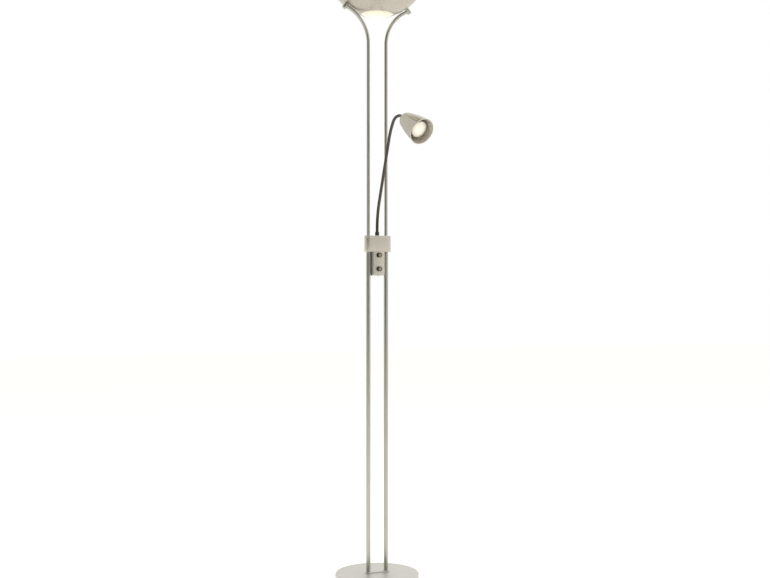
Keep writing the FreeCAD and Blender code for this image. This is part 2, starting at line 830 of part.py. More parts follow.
shaft_radius = cell("shaft_radius")
shaft_bore = shaft_radius + cell("shaft_clearance")
bushing_radius = cell("bushing_radius")
shaft_inner = inside_front + cell("dimmer_nut_thickness")
knob_back = cell("knob_gap") - box_front
knob_front = knob_back + cell("knob_length")
knob_floor = knob_back + cell("knob_recess")
cap_floor = knob_front - cell("knob_cap_thickness")
shaft_end = cap_floor - cell("knob_wall")
knob_radius = cell("knob_radius")
knob_hollow = knob_radius - cell("knob_wall")
dimmers = []
dimmer_nuts = []
for level, height in knob_heights.items():
    axis_place = point(0, 0, height)
    half = cell("dimmer_half_width")
    casing = block(f"{level}_casing", (-half, half), (inside_front, board_front),
                   (height - half, height + half))
    bushing = rod(f"{level}_bushing", bushing_radius, cell("bushing_length"),
                  point(0, inside_front, height), FRONT)
    bore = rod(f"{level}_shaft_bore", shaft_bore, cell("bushing_length") + dimmer_depth / 2,
               point(0, shaft_inner + fit, height), FRONT)
    dimmers.append(cut(f"{level}_dimmer", fused(f"{level}_dimmer_body", [casing, bushing]), [bore]))
    nut_place = point(0, box_front, height)
    nut_blank = hexagon(f"{level}_nut_blank", cell("dimmer_nut_width"),
                        cell("dimmer_nut_thickness"), nut_place, FRONT)
    nut_hole = rod(f"{level}_nut_hole", bushing_radius, cell("dimmer_nut_thickness"), nut_place, FRONT)
    dimmer_nuts.append(cut(f"{level}_dimmer_nut", nut_blank, [nut_hole]))
    shaft = disc(f"{level}_shaft", shaft_radius, -shaft_inner, shaft_end, axis_place, FRONT)
    keep(f"{level}_dimmer_shaft", shaft)
    knob_edge = cell("knob_edge")
    keep(f"{level}_knob", turned(f"{level}_knob_body", [
        (knob_hollow, knob_back),
        (knob_radius, knob_back),
        (knob_radius, knob_front - knob_edge),
        (knob_radius - knob_edge, knob_front, knob_edge, 1),
        (knob_hollow, knob_front),
        (knob_hollow, cap_floor),
        (0, cap_floor),
        (0, shaft_end),
        (shaft_radius, shaft_end),
        (shaft_radius, knob_floor),
        (knob_hollow, knob_floor)], axis_place, FRONT))
    keep(f"{level}_knob_cap", disc(f"{level}_cap", knob_hollow, cap_floor, knob_front,
                                   axis_place, FRONT))
keep("dimmers", group("dimmer_pair", dimmers))
keep("dimmer_nuts", group("dimmer_nut_pair", dimmer_nuts))

# ---------------------------------------------------------------- gooseneck

NECK_RUNS = (
    ("line", "neck_rise", None, None),
    ("bend", "neck_lower_bend", None, "neck_lean_angle"),
    ("line", "neck_straight", None, None),
    ("bend", "neck_upper_bend", "neck_lean_angle", "neck_crook_angle"),
    ("bend", "neck_hook_bend", "neck_crook_angle", "head_angle"),
    ("line", "head_ferrule_length", None, None),
)
neck_azimuth = math.radians(cell("neck_azimuth").value)
neck_out = FreeCAD.Vector(math.sin(neck_azimuth), -math.cos(neck_azimuth), 0)


def plain(alias):
    """The plain number of a size, or nothing where a run has no such size."""
    return cell(alias).value if alias else 0.0


def neck_lengths():
    """Length of each run of the neck's centre line."""
    lengths = []
    for kind, alias, lean_from, lean_to in NECK_RUNS:
        if kind == "line":
            lengths.append(plain(alias))
        else:
            lengths.append(plain(alias) * math.radians(plain(lean_to) - plain(lean_from)))
    return lengths


def neck_at(distance):
    """Point and direction of the neck's centre line at a distance above the collar's top."""
    place = point(0, 0, collar_top)
    lean = 0.0
    for (kind, alias, lean_from, lean_to), length in zip(NECK_RUNS, neck_lengths()):
        done = min(distance, length)
        if kind == "line":
            place = place + (neck_out * math.sin(lean) + UP * math.cos(lean)) * done
        else:
            radius = plain(alias)
            turned_lean = lean + done / radius
            place = place + neck_out * (radius * (math.cos(lean) - math.cos(turned_lean)))
            place = place + UP * (radius * (math.sin(turned_lean) - math.sin(lean)))
            lean = turned_lean
        distance -= done
    return place, neck_out * math.sin(lean) + UP * math.cos(lean)


def neck_wire(start, end):
    """The neck's centre line between two distances, as lines and arcs."""
    edges = []
    run_start = 0.0
    for (kind, alias, lean_from, lean_to), length in zip(NECK_RUNS, neck_lengths()):
        low = max(start, run_start)
        high = min(end, run_start + length)
        if high - low > 1e-6:
            ends = [neck_at(low)[0], neck_at((low + high) / 2)[0], neck_at(high)[0]]
            line = Part.LineSegment(ends[0], ends[2]) if kind == "line" else Part.Arc(*ends)
            edges.append(line.toShape())
        run_start += length
    return Part.Wire(edges)


def relief_cone(distance, facing):
    """What a segment's coned end leaves free at a joint, on its upper or lower side."""
    place, direction = neck_at(distance)
    reach = 3 * cell("ferrule_radius").value
    gap = cell("joint_gap").value
    rise = gap + reach * math.tan(math.radians(cell("joint_relief_angle").value))
    corners = [point(0, 0, -reach), point(reach, 0, -reach), point(reach, 0, rise), point(0, 0, gap)]
    face = Part.Face(Part.makePolygon(corners + corners[:1]))
    dish = face.revolve(FreeCAD.Vector(), UP, 360)
    dish.Placement = aimed(place, direction * facing)
    return dish


neck_total = sum(neck_lengths())
first_joint = plain("base_ferrule_length")
last_joint = neck_total - plain("head_ferrule_length")
segment_pitch = (last_joint - first_joint) / NECK_SEGMENTS
neck_joints = [first_joint + segment_pitch * index for index in range(NECK_SEGMENTS + 1)]
lead_radius = cell("lead_radius")
lead_gap = plain("joint_gap") + lead_radius.value * math.tan(math.radians(plain("joint_relief_angle")))
for index in range(NECK_SEGMENTS):
    low, high = neck_joints[index], neck_joints[index + 1]
    wire = neck_wire(low, high)
    hose = swept(wire, plain("neck_radius")).cut(swept(wire, plain("neck_bore_radius")))
    hose = hose.cut(relief_cone(low, 1)).cut(relief_cone(high, -1))
    lead = swept(neck_wire(low + lead_gap, high - lead_gap), lead_radius.value)
    keep(f"neck_{index + 1}", feature(f"hose_{index + 1}", Part.makeCompound(hose.Solids + lead.Solids)))

ferrule_radius = cell("ferrule_radius")
neck_bore = cell("neck_bore_radius")
joint_relief = cell("joint_relief_angle")
relief_slope = sine(joint_relief) / cosine(joint_relief)
joint_gap = cell("joint_gap")
ferrule_top = collar_top + cell("base_ferrule_length")
stud_low = cap_bottom - cell("nut_thickness") - break_size
keep("neck_base_ferrule", turned("base_ferrule", [
    (neck_bore, stud_low),
    (thread, stud_low),
    (thread, collar_top),
    (ferrule_radius, collar_top),
    (ferrule_radius, ferrule_top - joint_gap - relief_slope * ferrule_radius),
    (neck_bore, ferrule_top - joint_gap - relief_slope * neck_bore)]))
nuts.append(lamp_nut("neck_nut", point(0, 0, cap_bottom - cell("nut_thickness"))))

# ---------------------------------------------------------------- reading head

head_place, head_direction = neck_at(neck_total)
shade_wall = cell("shade_wall")
shade_length = cell("shade_length")
mouth_radius = cell("shade_mouth_radius")
waist_radius = cell("shade_waist_radius")
dome_depth = cell("shade_dome_depth")
dome_radius = cell("shade_dome_radius")
rear_radius = cell("shade_rear_radius")
shade_lip = cell("shade_lip")
shade_nut_end = shade_wall + cell("nut_thickness")
bracket_floor = shade_nut_end + cell("bracket_wall")
bracket_nut_end = bracket_floor + cell("nut_thickness")
head_stud = bracket_nut_end + break_size
bracket_end = shade_nut_end + cell("bracket_length")
holder_front = bracket_end + cell("holder_length") / 2
holder_back = holder_front - cell("holder_length")
lamp_face = shade_length - cell("lamp_recess")
lamp_radius = cell("lamp_face_radius")
lamp_rim_back = lamp_face - cell("lamp_rim")
lamp_back = holder_front - cell("holder_socket")
pin_radius = cell("lamp_pin_radius")
holder_radius = cell("holder_radius")
lens_radius = cell("lens_radius")
lens_back = lamp_face - cell("lens_thickness")
ferrule_back = -cell("head_ferrule_length")

keep("head_ferrule", turned("head_ferrule_body", [
    (neck_bore, ferrule_back + joint_gap + relief_slope * neck_bore),
    (ferrule_radius, ferrule_back + joint_gap + relief_slope * ferrule_radius),
    (ferrule_radius, 0),
    (thread, 0),
    (thread, head_stud),
    (neck_bore, head_stud)], head_place, head_direction))
keep("reading_shade", turned("shade", [
    (thread, 0),
    (rear_radius, 0),
    (waist_radius, dome_depth, dome_radius, 1),
    (mouth_radius, shade_length - shade_lip * 2),
    (mouth_radius + shade_lip, shade_length - shade_lip, shade_lip, 1),
    (mouth_radius, shade_length, shade_lip, 1),
    (mouth_radius - shade_wall, shade_length),
    (waist_radius - shade_wall, dome_depth),
    (rear_radius, shade_wall, dome_radius - shade_wall, -1),
    (thread, shade_wall)], head_place, head_direction))
keep("head_nuts", group("head_nut_pair", [
    lamp_nut(name, head_place + head_direction * place.value, head_direction)
    for name, place in (("shade_nut", shade_wall), ("bracket_nut", bracket_floor))]))
bracket_radius = holder_radius + cell("bracket_wall")
keep("holder_bracket", turned("bracket", [
    (thread, shade_nut_end),
    (bracket_radius, shade_nut_end),
    (bracket_radius, bracket_end),
    (holder_radius, bracket_end),
    (holder_radius, bracket_floor),
    (thread, bracket_floor)], head_place, head_direction))
keep("reading_lamp_holder", turned("holder", [
    (neck_bore, holder_back),
    (holder_radius, holder_back),
    (holder_radius, holder_front),
    (pin_radius, holder_front),
    (pin_radius, lamp_back),
    (neck_bore, lamp_back)], head_place, head_direction))
keep("reading_lamp", turned("lamp", [
    (0, lamp_back),
    (pin_radius, lamp_back),
    (pin_radius, holder_front),
    (holder_radius, holder_front),
    (lamp_radius, lamp_rim_back, cell("lamp_flare_radius"), 1),
    (lamp_radius, lamp_face),
    (lens_radius, lamp_face),
    (lens_radius, lens_back),
    (0, lens_back)], head_place, head_direction))
keep("reading_lamp_lens", disc("lens", lens_radius, lens_back, lamp_face - cell("edge_break"),
                               head_place, head_direction))

# ---------------------------------------------------------------- uplight bowl

opening_radius = cell("opening_radius")
opening_height = sphere_height - root(bowl_radius * bowl_radius - opening_radius * opening_radius)
lip_radius = opening_radius - cell("lip_width")
lip_top = opening_height + cell("bowl_wall")
inside_opening = root(bowl_inside * bowl_inside
                      - (sphere_height - lip_top) * (sphere_height - lip_top))
bead = cell("bead_radius")
inner_rim = rim_radius - cell("bowl_wall")
bowl = turned("bowl", [
    (lip_radius, opening_height),
    (opening_radius, opening_height),
    (rim_radius, rim_height, bowl_radius, 1),
    (rim_radius - cell("bowl_wall") / 2, rim_height + bead, bead, 1),
    (inner_rim, rim_height, bead, 1),
    (inside_opening, lip_top, bowl_inside, -1),
    (lip_radius, lip_top)])
bowl_tools = [rod(f"bowl_{side}_hole", thread_hole, cell("bowl_nipple_length"),
                  on_boss_axis(bowl_radius - cell("bowl_nipple_length") / 2, sign), boss_direction(sign))
              for side, sign in POLES]
keep("bowl_shell", cut("bowl_cut", bowl, bowl_tools))

glass_edge = lip_radius - fit
glass_flange_top = lip_top + cell("glass_flange")
glass_low = opening_height - cell("glass_sag")
glass_rise = lip_top - glass_low
glass_curve = (glass_edge * glass_edge + glass_rise * glass_rise) / (glass_rise * 2)
flange_radius = inside_opening - fit
ring_radius = root(bowl_inside * bowl_inside
                   - (sphere_height - glass_flange_top) * (sphere_height - glass_flange_top))
keep("bottom_glass", turned("glass", [
    (0, glass_low),
    (glass_edge, lip_top, glass_curve, 1),
    (flange_radius, lip_top),
    (flange_radius, glass_flange_top),
    (glass_edge, glass_flange_top),
    (0, glass_low + cell("glass_thickness"), glass_curve, -1)]))
keep("glass_ring", ring("glass_ring_body", ring_radius, ring_radius - cell("ring_width"),
                        glass_flange_top, glass_flange_top + cell("ring_thickness")))

# ---------------------------------------------------------------- lamp bracket in the bowl

strip_thickness = cell("strip_thickness")
strip_half = cell("strip_half_width")
plate_reach = cell("strip_end")
plate_outer = root(bowl_inside * bowl_inside - strip_half * strip_half - plate_reach * plate_reach)
strip_low = sphere_height - plate_outer * cosine(boss_angle) - plate_reach * sine(boss_angle)
strip_top = strip_low + strip_thickness
plate_inner = plate_outer - strip_thickness


def on_strip(distance, height):
    """Where a face of the tilted end, at a distance from the sphere's centre, meets a level."""
    along = (sphere_height - height - distance * cosine(boss_angle)) / sine(boss_angle)
    return distance * sine(boss_angle) - along * cosine(boss_angle)


def strip_tip(distance):
    """The outer end of a face of the tilted plate: across and height."""
    return (distance * sine(boss_angle) + plate_reach * cosine(boss_angle),
            sphere_height - distance * cosine(boss_angle) + plate_reach * sine(boss_angle))


tip_outer, tip_inner = strip_tip(plate_outer), strip_tip(plate_inner)
strip_body = doc.addObject("PartDesign::Body", "strip")
strip_sketch = outline_sketch(strip_body, "XZ_Plane", [
    (-on_strip(plate_outer, strip_low), strip_low),
    (on_strip(plate_outer, strip_low), strip_low),
    tip_outer,
    tip_inner,
    (on_strip(plate_inner, strip_top), strip_top),
    (-on_strip(plate_inner, strip_top), strip_top),
    (-tip_inner[0], tip_inner[1]),
    (-tip_outer[0], tip_outer[1])])
strip_pad = strip_body.newObject("PartDesign::Pad", "strip_pad")
strip_pad.Profile = strip_sketch
strip_pad.Midplane = True
bind(strip_pad, "Length", strip_half * 2)
strip_holes = [rod(f"strip_{side}_hole", thread_hole, plate_reach,
                   on_boss_axis(plate_outer - plate_reach / 2, sign), boss_direction(sign))
               for side, sign in POLES]
keep("lamp_bracket", cut("strip_cut", strip_body, strip_holes))
bowl_nipple_low = boss_middle - cell("bowl_nipple_gap")
keep("bowl_nipples", group("bowl_nipple_pair", [
    ring(f"{side}_bowl_nipple", thread, nipple_bore, bowl_nipple_low - cell("bowl_nipple_length"),
         bowl_nipple_low, point(0, 0, sphere_height), boss_direction(sign))
    for side, sign in POLES]))
nuts += [lamp_nut(f"{side}_bowl_nut", on_boss_axis(plate_inner - cell("nut_thickness"), sign),
                  boss_direction(sign)) for side, sign in POLES]
keep("lamp_nuts", group("all_lamp_nuts", nuts))

socket_face = cell("socket_inner_face")
socket_outer = socket_face + cell("socket_thickness")
socket_half = cell("socket_half_depth")
socket_top = strip_top + cell("socket_height")
uplight_height = strip_top + cell("uplight_axis_height")
uplight_end = socket_face + cell("socket_recess")
sockets = []
for side, sign in POLES:
    inner, outer = (socket_face, socket_outer) if sign > 0 else (-socket_outer, -socket_face)
    blank = block(f"{side}_socket_blank", (inner, outer), (-socket_half, socket_half),
                  (strip_top, socket_top))
    hollow = rod(f"{side}_socket_hollow", cell("uplight_radius"), cell("socket_recess"),
                 point(socket_face * sign, 0, uplight_height), point(sign, 0, 0))
    sockets.append(cut(f"{side}_socket", blank, [hollow]))
keep("lamp_holders", group("socket_pair", sockets))
cap_start = uplight_end - cell("uplight_cap_length")
cap_radius = cell("uplight_cap_radius")
shoulder = cell("uplight_shoulder")
uplight_radius = cell("uplight_radius")
keep("uplight_lamp", turned("tube_lamp", [
    (0, -uplight_end),
    (cap_radius, -uplight_end),
    (cap_radius, -cap_start),
    (uplight_radius, -cap_start + shoulder),
    (uplight_radius, cap_start - shoulder),
    (cap_radius, cap_start),
    (cap_radius, uplight_end),
    (0, uplight_end)], point(0, 0, uplight_height), point(1, 0, 0)))

guard_top = socket_top + cell("guard_thickness")
clip = cell("clip_thickness")
keep("guard_glass", block("guard", (-socket_outer, socket_outer),
                          (-cell("guard_half_depth"), cell("guard_half_depth")),
                          (socket_top, guard_top)))
clips = []
for side, sign in POLES:
    near, far = socket_outer, socket_outer + clip
    grip = socket_outer - cell("clip_grip")
    leg_x = (near, far) if sign > 0 else (-far, -near)
    tab_x = (grip, far) if sign > 0 else (-far, -grip)
    width = (-cell("clip_half_width"), cell("clip_half_width"))
    leg = block(f"{side}_clip_leg", leg_x, width, (socket_top - cell("clip_leg"), guard_top + clip))
    tab = block(f"{side}_clip_tab", tab_x, width, (guard_top, guard_top + clip))
    clips.append(fused(f"{side}_clip", [leg, tab]))
keep("guard_clips", group("clip_pair", clips))

# ---------------------------------------------------------------- leads

lead_offset = cell("lead_offset")
lead_bend = cell("lead_bend").value


def lead_feature(label, wire):
    """An insulated lead, checked against its section times its length."""
    shape = swept(wire, lead_radius.value)
    expected = math.pi * lead_radius.value ** 2 * wire.Length
    if abs(shape.Volume / expected - 1) > 0.01:
        raise RuntimeError(f"{label} has volume {shape.Volume}, expected {expected}")
    return keep(label, feature(label + "_run", shape))


lead_feature("mains_lead", routed([
    point(-pole_offset, 0, nipple_low),
    point(-pole_offset, 0, lead_cross),
    point(-lead_offset, 0, lead_cross),
    point(-lead_offset, 0, terminal_top)], lead_bend))

box_run = routed([
    point(lead_offset, 0, terminal_top),
    point(lead_offset, 0, lead_cross),
    point(pole_offset, 0, lead_cross),
    point(pole_offset, 0, seat_height + cell("collar_height"))], lead_bend)
arm_edges = arm_wire(1).Edges
arm_bend = arm_edges[1]
boss_centre = on_boss_axis(boss_middle, 1)
bowl_turn = on_boss_axis(bowl_nipple_low - cell("bowl_nipple_length") - lead_offset, 1)
socket_entry = point(socket_outer, 0, bowl_turn.z)
tail_run = routed([arm_edges[2].Vertexes[0].Point, boss_centre, bowl_turn],
                  cell("boss_lead_bend").value)
entry_run = routed([tail_run.Vertexes[-1].Point - (bowl_turn - boss_centre).normalize() * lead_bend,
                    bowl_turn, socket_entry], lead_bend)
join = entry_run.Vertexes[0].Point
tail_edges = tail_run.Edges[:-1] + [Part.LineSegment(tail_run.Edges[-1].Vertexes[0].Point, join).toShape()]
climb = Part.LineSegment(box_run.Vertexes[-1].Point, arm_bend.Vertexes[0].Point).toShape()
lead_feature("uplight_lead", Part.Wire(box_run.Edges + [climb, arm_bend] + tail_edges + entry_run.Edges))

lead_feature("reading_lead", Part.Wire([Part.LineSegment(
    point(0, 0, terminal_top), point(0, 0, ferrule_top - joint_gap * 2)).toShape()]))

# ---------------------------------------------------------------- checks and files

doc.recompute()
for thing in doc.Objects:
    if "Invalid" in thing.State or "Error" in thing.State:
        raise RuntimeError(f"{thing.Name} failed: {thing.State}")
for label, thing in pieces.items():
    if thing.Shape.isNull() or not thing.Shape.isValid() or not thing.Shape.Solids:
        raise RuntimeError(f"{label} has no valid solid")

os.makedirs("parts", exist_ok=True)
for label, thing in pieces.items():
    thing.Shape.exportStep(f"parts/{label}.step")
    print(label, len(thing.Shape.Solids), round(thing.Shape.Volume))
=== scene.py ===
"""A torchiere floor lamp with a reading light on a gooseneck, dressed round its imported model.

The sections follow the lamp from the floor up. Sizes in them are millimetres; a finished piece
is brought to metres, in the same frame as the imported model: +Z up, the front towards -Y.
"""

import math

import bmesh
import bpy
from mathutils import Matrix, Vector


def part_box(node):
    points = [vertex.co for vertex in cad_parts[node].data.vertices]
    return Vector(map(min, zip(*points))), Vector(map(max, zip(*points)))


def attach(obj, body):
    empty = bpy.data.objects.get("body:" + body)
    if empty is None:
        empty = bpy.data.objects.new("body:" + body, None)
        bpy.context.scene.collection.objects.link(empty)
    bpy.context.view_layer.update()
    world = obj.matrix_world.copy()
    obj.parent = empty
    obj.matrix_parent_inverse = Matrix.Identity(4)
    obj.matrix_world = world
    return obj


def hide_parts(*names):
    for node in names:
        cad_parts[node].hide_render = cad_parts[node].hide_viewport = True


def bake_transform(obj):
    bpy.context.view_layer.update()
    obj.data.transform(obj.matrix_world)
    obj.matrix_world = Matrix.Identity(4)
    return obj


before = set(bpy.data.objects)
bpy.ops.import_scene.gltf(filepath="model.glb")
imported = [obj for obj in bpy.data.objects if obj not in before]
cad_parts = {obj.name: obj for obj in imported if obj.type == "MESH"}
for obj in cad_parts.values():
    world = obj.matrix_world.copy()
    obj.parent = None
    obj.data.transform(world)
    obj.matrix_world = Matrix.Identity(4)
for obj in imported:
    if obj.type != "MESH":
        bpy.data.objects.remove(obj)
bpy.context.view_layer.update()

# ---------------------------------------------------------------- felt pad and cast weight
# A disc of pressed wool felt is glued under a cast-iron weight, which keeps the lamp upright.
# The felt lifts the spun cover's edge clear of the floor; only its rim can be seen.

MM = 0.001
UP = Vector((0, 0, 1))
PAD_EDGE = 0.6
FELT_FIBRE = 0.9
CASTING_GRAIN = 2.5


def linear(colour):
    """An sRGB hex colour as linear RGBA."""
    parts = [int(colour[place:place + 2], 16) / 255 for place in (0, 2, 4)]
    return [part / 12.92 if part <= 0.04045 else ((part + 0.055) / 1.055) ** 2.4
            for part in parts] + [1.0]


def new_material(name, sockets):
    """A material and its shader, with these values set on the shader's own sockets."""
    material = bpy.data.materials.new(name)
    material.use_nodes = True
    shader = material.node_tree.nodes["Principled BSDF"]
    for socket, value in sockets.items():
        shader.inputs[socket].default_value = value
    return material, shader


def add_node(owner, kind, settings, links=None, feeds=None):
    """Adds a node. Settings are its properties and input values, links give an input another
    node's output, and feeds give another node's input one of this node's outputs."""
    tree = owner.node_tree
    node = tree.nodes.new(kind)
    for name, value in settings.items():
        if isinstance(name, str) and hasattr(node, name):
            setattr(node, name, value)
        else:
            node.inputs[name].default_value = value
    for name, (source, output) in (links or {}).items():
        tree.links.new(source.outputs[output], node.inputs[name])
    for output, targets in (feeds or {}).items():
        for target, name in targets:
            tree.links.new(node.outputs[output], target.inputs[name])
    return node


def per_metre(size):
    """The texture scale at which one spot of a noise is about this many millimetres."""
    return 1 / (size * MM)


def spots(owner, size, detail, **settings):
    """A noise fixed to the piece, with spots of about this many millimetres."""
    place = add_node(owner, "ShaderNodeTexCoord", {})
    return add_node(owner, "ShaderNodeTexNoise", {
        "Scale": per_metre(size), "Detail": detail, **settings}, {"Vector": (place, "Object")})


def vary(owner, shader, pattern, output="Fac", tint=None, gloss=None, glow=None, relief=None):
    """Lets a pattern run a shader from a deep to a pale tint, between two roughnesses and two
    strengths of glow, and in a relief of this strength and depth in millimetres."""
    source = (pattern, output)
    if tint:
        add_node(owner, "ShaderNodeMix", {
            "data_type": "RGBA", 6: linear(tint[0]), 7: linear(tint[1])},
            {0: source}, {2: [(shader, "Base Color")]})
    for socket, ends in (("Roughness", gloss), ("Emission Strength", glow)):
        if ends:
            add_node(owner, "ShaderNodeMapRange", {"To Min": ends[0], "To Max": ends[1]},
                     {"Value": source}, {"Result": [(shader, socket)]})
    if relief:
        add_node(owner, "ShaderNodeBump", {"Strength": relief[0], "Distance": relief[1] * MM},
                 {"Height": source}, {"Normal": [(shader, "Normal")]})


def cad_box(node):
    """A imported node's lowest and highest corners in millimetres."""
    low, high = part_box(node)
    return low / MM, high / MM


def rounded(corners, steps=5):
    """An outline in which each corner (across, up, rounding) becomes an arc of that radius."""
    points = []
    for index, (across, up, *rounding) in enumerate(corners):
        corner = Vector((across, up))
        if not rounding:
            points.append(corner)
            continue
        before = (Vector(corners[index - 1][:2]) - corner).normalized()
        after = (Vector(corners[(index + 1) % len(corners)][:2]) - corner).normalized()
        half = before.angle(after) / 2
        middle = corner + (before + after).normalized() * (rounding[0] / math.sin(half))
        arm = corner + before * (rounding[0] / math.tan(half)) - middle
        turn = math.copysign(math.pi - 2 * half, before.x * after.y - before.y * after.x)
        points += [middle + Matrix.Rotation(-turn * step / steps, 2) @ arm
                   for step in range(steps + 1)]
    return points


def spun(outline, closed=False, steps=96):
    """A mesh spun once round Z from an outline of (radius, height) points."""
    bm = bmesh.new()
    corners = [bm.verts.new((radius, 0, height)) for radius, height in outline]
    edges = [bm.edges.new(pair) for pair in zip(corners, corners[1:])]
    if closed:
        edges.append(bm.edges.new((corners[-1], corners[0])))
    bmesh.ops.spin(bm, geom=corners + edges, cent=(0, 0, 0), axis=UP, angle=math.tau,
                   steps=steps, use_merge=True)
    bmesh.ops.remove_doubles(bm, verts=bm.verts, dist=0.001)
    bmesh.ops.recalc_face_normals(bm, faces=bm.faces)
    return bm


def mesh_of(name, bm):
    """The finished form of a mesh being built, which is used up."""
    mesh = bpy.data.meshes.new(name)
    bm.to_mesh(mesh)
    bm.free()
    return mesh


def in_scene(name, data):
    """A new object with this data, in the scene."""
    thing = bpy.data.objects.new(name, data)
    bpy.context.scene.collection.objects.link(thing)
    return thing


def place_piece(name, bm, material, nodes=(), body="root", crease=32):
    """Makes a mesh in millimetres a piece in metres, which rides on a body and stands for nodes."""
    bmesh.ops.scale(bm, vec=(MM, MM, MM), verts=bm.verts)
    mesh = mesh_of(name, bm)
    mesh.shade_smooth()
    mesh.set_sharp_from_angle(angle=math.radians(crease))
    mesh.materials.append(material)
    piece = in_scene(name, mesh)
    if body:
        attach(piece, body)
    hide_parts(*nodes)
    return piece


def coat(material, *nodes):
    """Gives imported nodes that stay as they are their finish."""
    for node in nodes:
        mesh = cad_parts[node].data
        mesh.materials.clear()
        mesh.materials.append(material)


# Pressed felt scatters light from loose fibres: fully rough, a little sheen, no gloss.
felt, shader = new_material("pressed_wool_felt", {
    "Roughness": 0.95, "IOR": 1.5, "Specular IOR Level": 0.15, "Sheen Weight": 0.4})
vary(felt, shader, spots(felt, FELT_FIBRE, 6, Roughness=0.7), tint=("2b2a29", "454341"),
     relief=(0.6, 0.4))

# As-cast iron keeps the pebbled skin of the sand mould: dark grey, rough, half metallic.
iron, shader = new_material("sand_cast_iron", {"Metallic": 0.7, "Roughness": 0.7})
vary(iron, shader, spots(iron, CASTING_GRAIN, 5), tint=("34322f", "55524d"), relief=(0.7, 0.5))

low, high = cad_box("base_pad")
place_piece("felt_pad", spun(rounded([
    (0, low.z), (high.x, low.z, PAD_EDGE), (high.x, high.z, PAD_EDGE), (0, high.z)])),
    felt, ["base_pad"])
coat(iron, "base_weight")

# ---------------------------------------------------------------- nuts, washers and brackets
# The lamp's hidden hardware: hollow lamp-thread nipples, thin hexagon nuts, washers, spacers,
# clips and pressed brackets. All are steel with a bright zinc plate.

ZINC_GRAIN = 1.2

# Bright zinc is a bluish white metal, fairly even, with a faint cloudiness from the bath.
zinc, shader = new_material("bright_zinc_plated_steel", {
    "Base Color": linear("b9bdc1"), "Metallic": 1.0})
vary(zinc, shader, spots(zinc, ZINC_GRAIN, 3), gloss=(0.22, 0.42), relief=(0.08, 0.1))

coat(zinc, "base_spacers", "pole_nipples", "pole_bushes", "pole_washers", "lamp_nuts",
     "dimmer_nuts", "head_nuts", "holder_bracket", "glass_ring", "lamp_bracket", "bowl_nipples",
     "guard_clips", "box_screws")

# ---------------------------------------------------------------- base cover
# A disc of steel spun over the weight, with a turned-over edge and a rolled hem, then plated in
# satin nickel. The poles' nuts pull it down on two spacers, through the foot plate on top.

COVER_WALL = 1.5
COVER_EDGE = 6.0
HEM_ROUNDING = 0.7
GLAND_BARREL = 6.0
SATIN_GRIT = 0.5
PLATING_CLOUD = 45.0


def satin_nickel(name, tint, grain, gloss):
    """Satin nickel plate over worked metal. The grain scales the streaks along X, Y and Z, so
    a small number draws them out. It is a warm pale grey with a soft, streaked gloss."""
    material, shader = new_material(name, {"Metallic": 1.0})
    place = add_node(material, "ShaderNodeTexCoord", {})
    along = add_node(material, "ShaderNodeMapping", {"Scale": grain}, {"Vector": (place, "Object")})
    # The grit of the satin brush, drawn a few times coarser than real so that it shows.
    streaks = add_node(material, "ShaderNodeTexNoise", {
        "Scale": per_metre(SATIN_GRIT), "Detail": 3, "Roughness": 0.6}, {"Vector": (along, "Vector")})
    vary(material, shader, spots(material, PLATING_CLOUD, 2), tint=tint)
    vary(material, shader, streaks, gloss=gloss, relief=(0.10, 0.05))
    return material


def aimed(at, toward=UP):
    """The transform that takes a shape made along Z to a point and a direction."""
    return Matrix.Translation(at) @ UP.rotation_difference(Vector(toward)).to_matrix().to_4x4()


def carved(bm, cutter):
    """A mesh with the cutter's shape taken out of it. Both are used up."""
    blank = in_scene("blank", mesh_of("blank", bm))
    tool = in_scene("cutter", mesh_of("cutter", cutter))
    cut = blank.modifiers.new("cut", "BOOLEAN")
    cut.object = tool
    cut.solver = "EXACT"
    bpy.context.view_layer.update()
    result = blank.evaluated_get(bpy.context.evaluated_depsgraph_get()).to_mesh()
    left = bmesh.new()
    left.from_mesh(result)
    for thing in (blank, tool):
        bpy.data.objects.remove(thing)
    return left


def drill(bm, radius, length, at, toward, sides=48):
    """Adds a round or many-sided bar, which also serves as a cutter, to a mesh."""
    bmesh.ops.create_cone(bm, cap_ends=True, segments=sides, radius1=radius, radius2=radius,
                          depth=length, matrix=aimed(at, toward))


spun_nickel = satin_nickel("satin_nickel_on_spun_steel", ("cac8c4", "d3d1ce"), (1, 1, 1),
                           (0.42, 0.55))

gland_low, gland_high = cad_box("cord_gland")
gland_height = (gland_low.z + gland_high.z) / 2
low, high = cad_box("base_cover")
cover = spun(rounded([
    (0, high.z), (high.x, high.z, COVER_EDGE), (high.x, low.z, HEM_ROUNDING),
    (high.x - COVER_WALL, low.z, HEM_ROUNDING),
    (high.x - COVER_WALL, high.z - COVER_WALL, COVER_EDGE - COVER_WALL),
    (0, high.z - COVER_WALL)], steps=8), steps=160)
gland_hole = bmesh.new()
drill(gland_hole, GLAND_BARREL, COVER_EDGE * 2, (0, high.y, gland_height), (0, 1, 0))
place_piece("base_cover_spun", carved(cover, gland_hole), spun_nickel,
            ["base_cover"])

# ---------------------------------------------------------------- cord gland
# A snap-in gland of black nylon in the back of the base cover, where the mains cord goes in.
# Its flange is moulded with six grip notches round the bore.

GLAND_BORE = 3.5
GLAND_HEAD = 3.6
GLAND_NOTCHES = 6
NOTCH_RADIUS = 0.7
NOTCH_LENGTH = 2.4
MOULD_TEXTURE = 0.7

# Moulded nylon has a fine spark-eroded texture: near black, with a soft plastic sheen.
nylon, shader = new_material("moulded_black_nylon", {
    "Base Color": linear("0e0d0b"), "IOR": 1.53, "Specular IOR Level": 0.12})
vary(nylon, shader, spots(nylon, MOULD_TEXTURE, 4), gloss=(0.68, 0.82), relief=(0.15, 0.1))

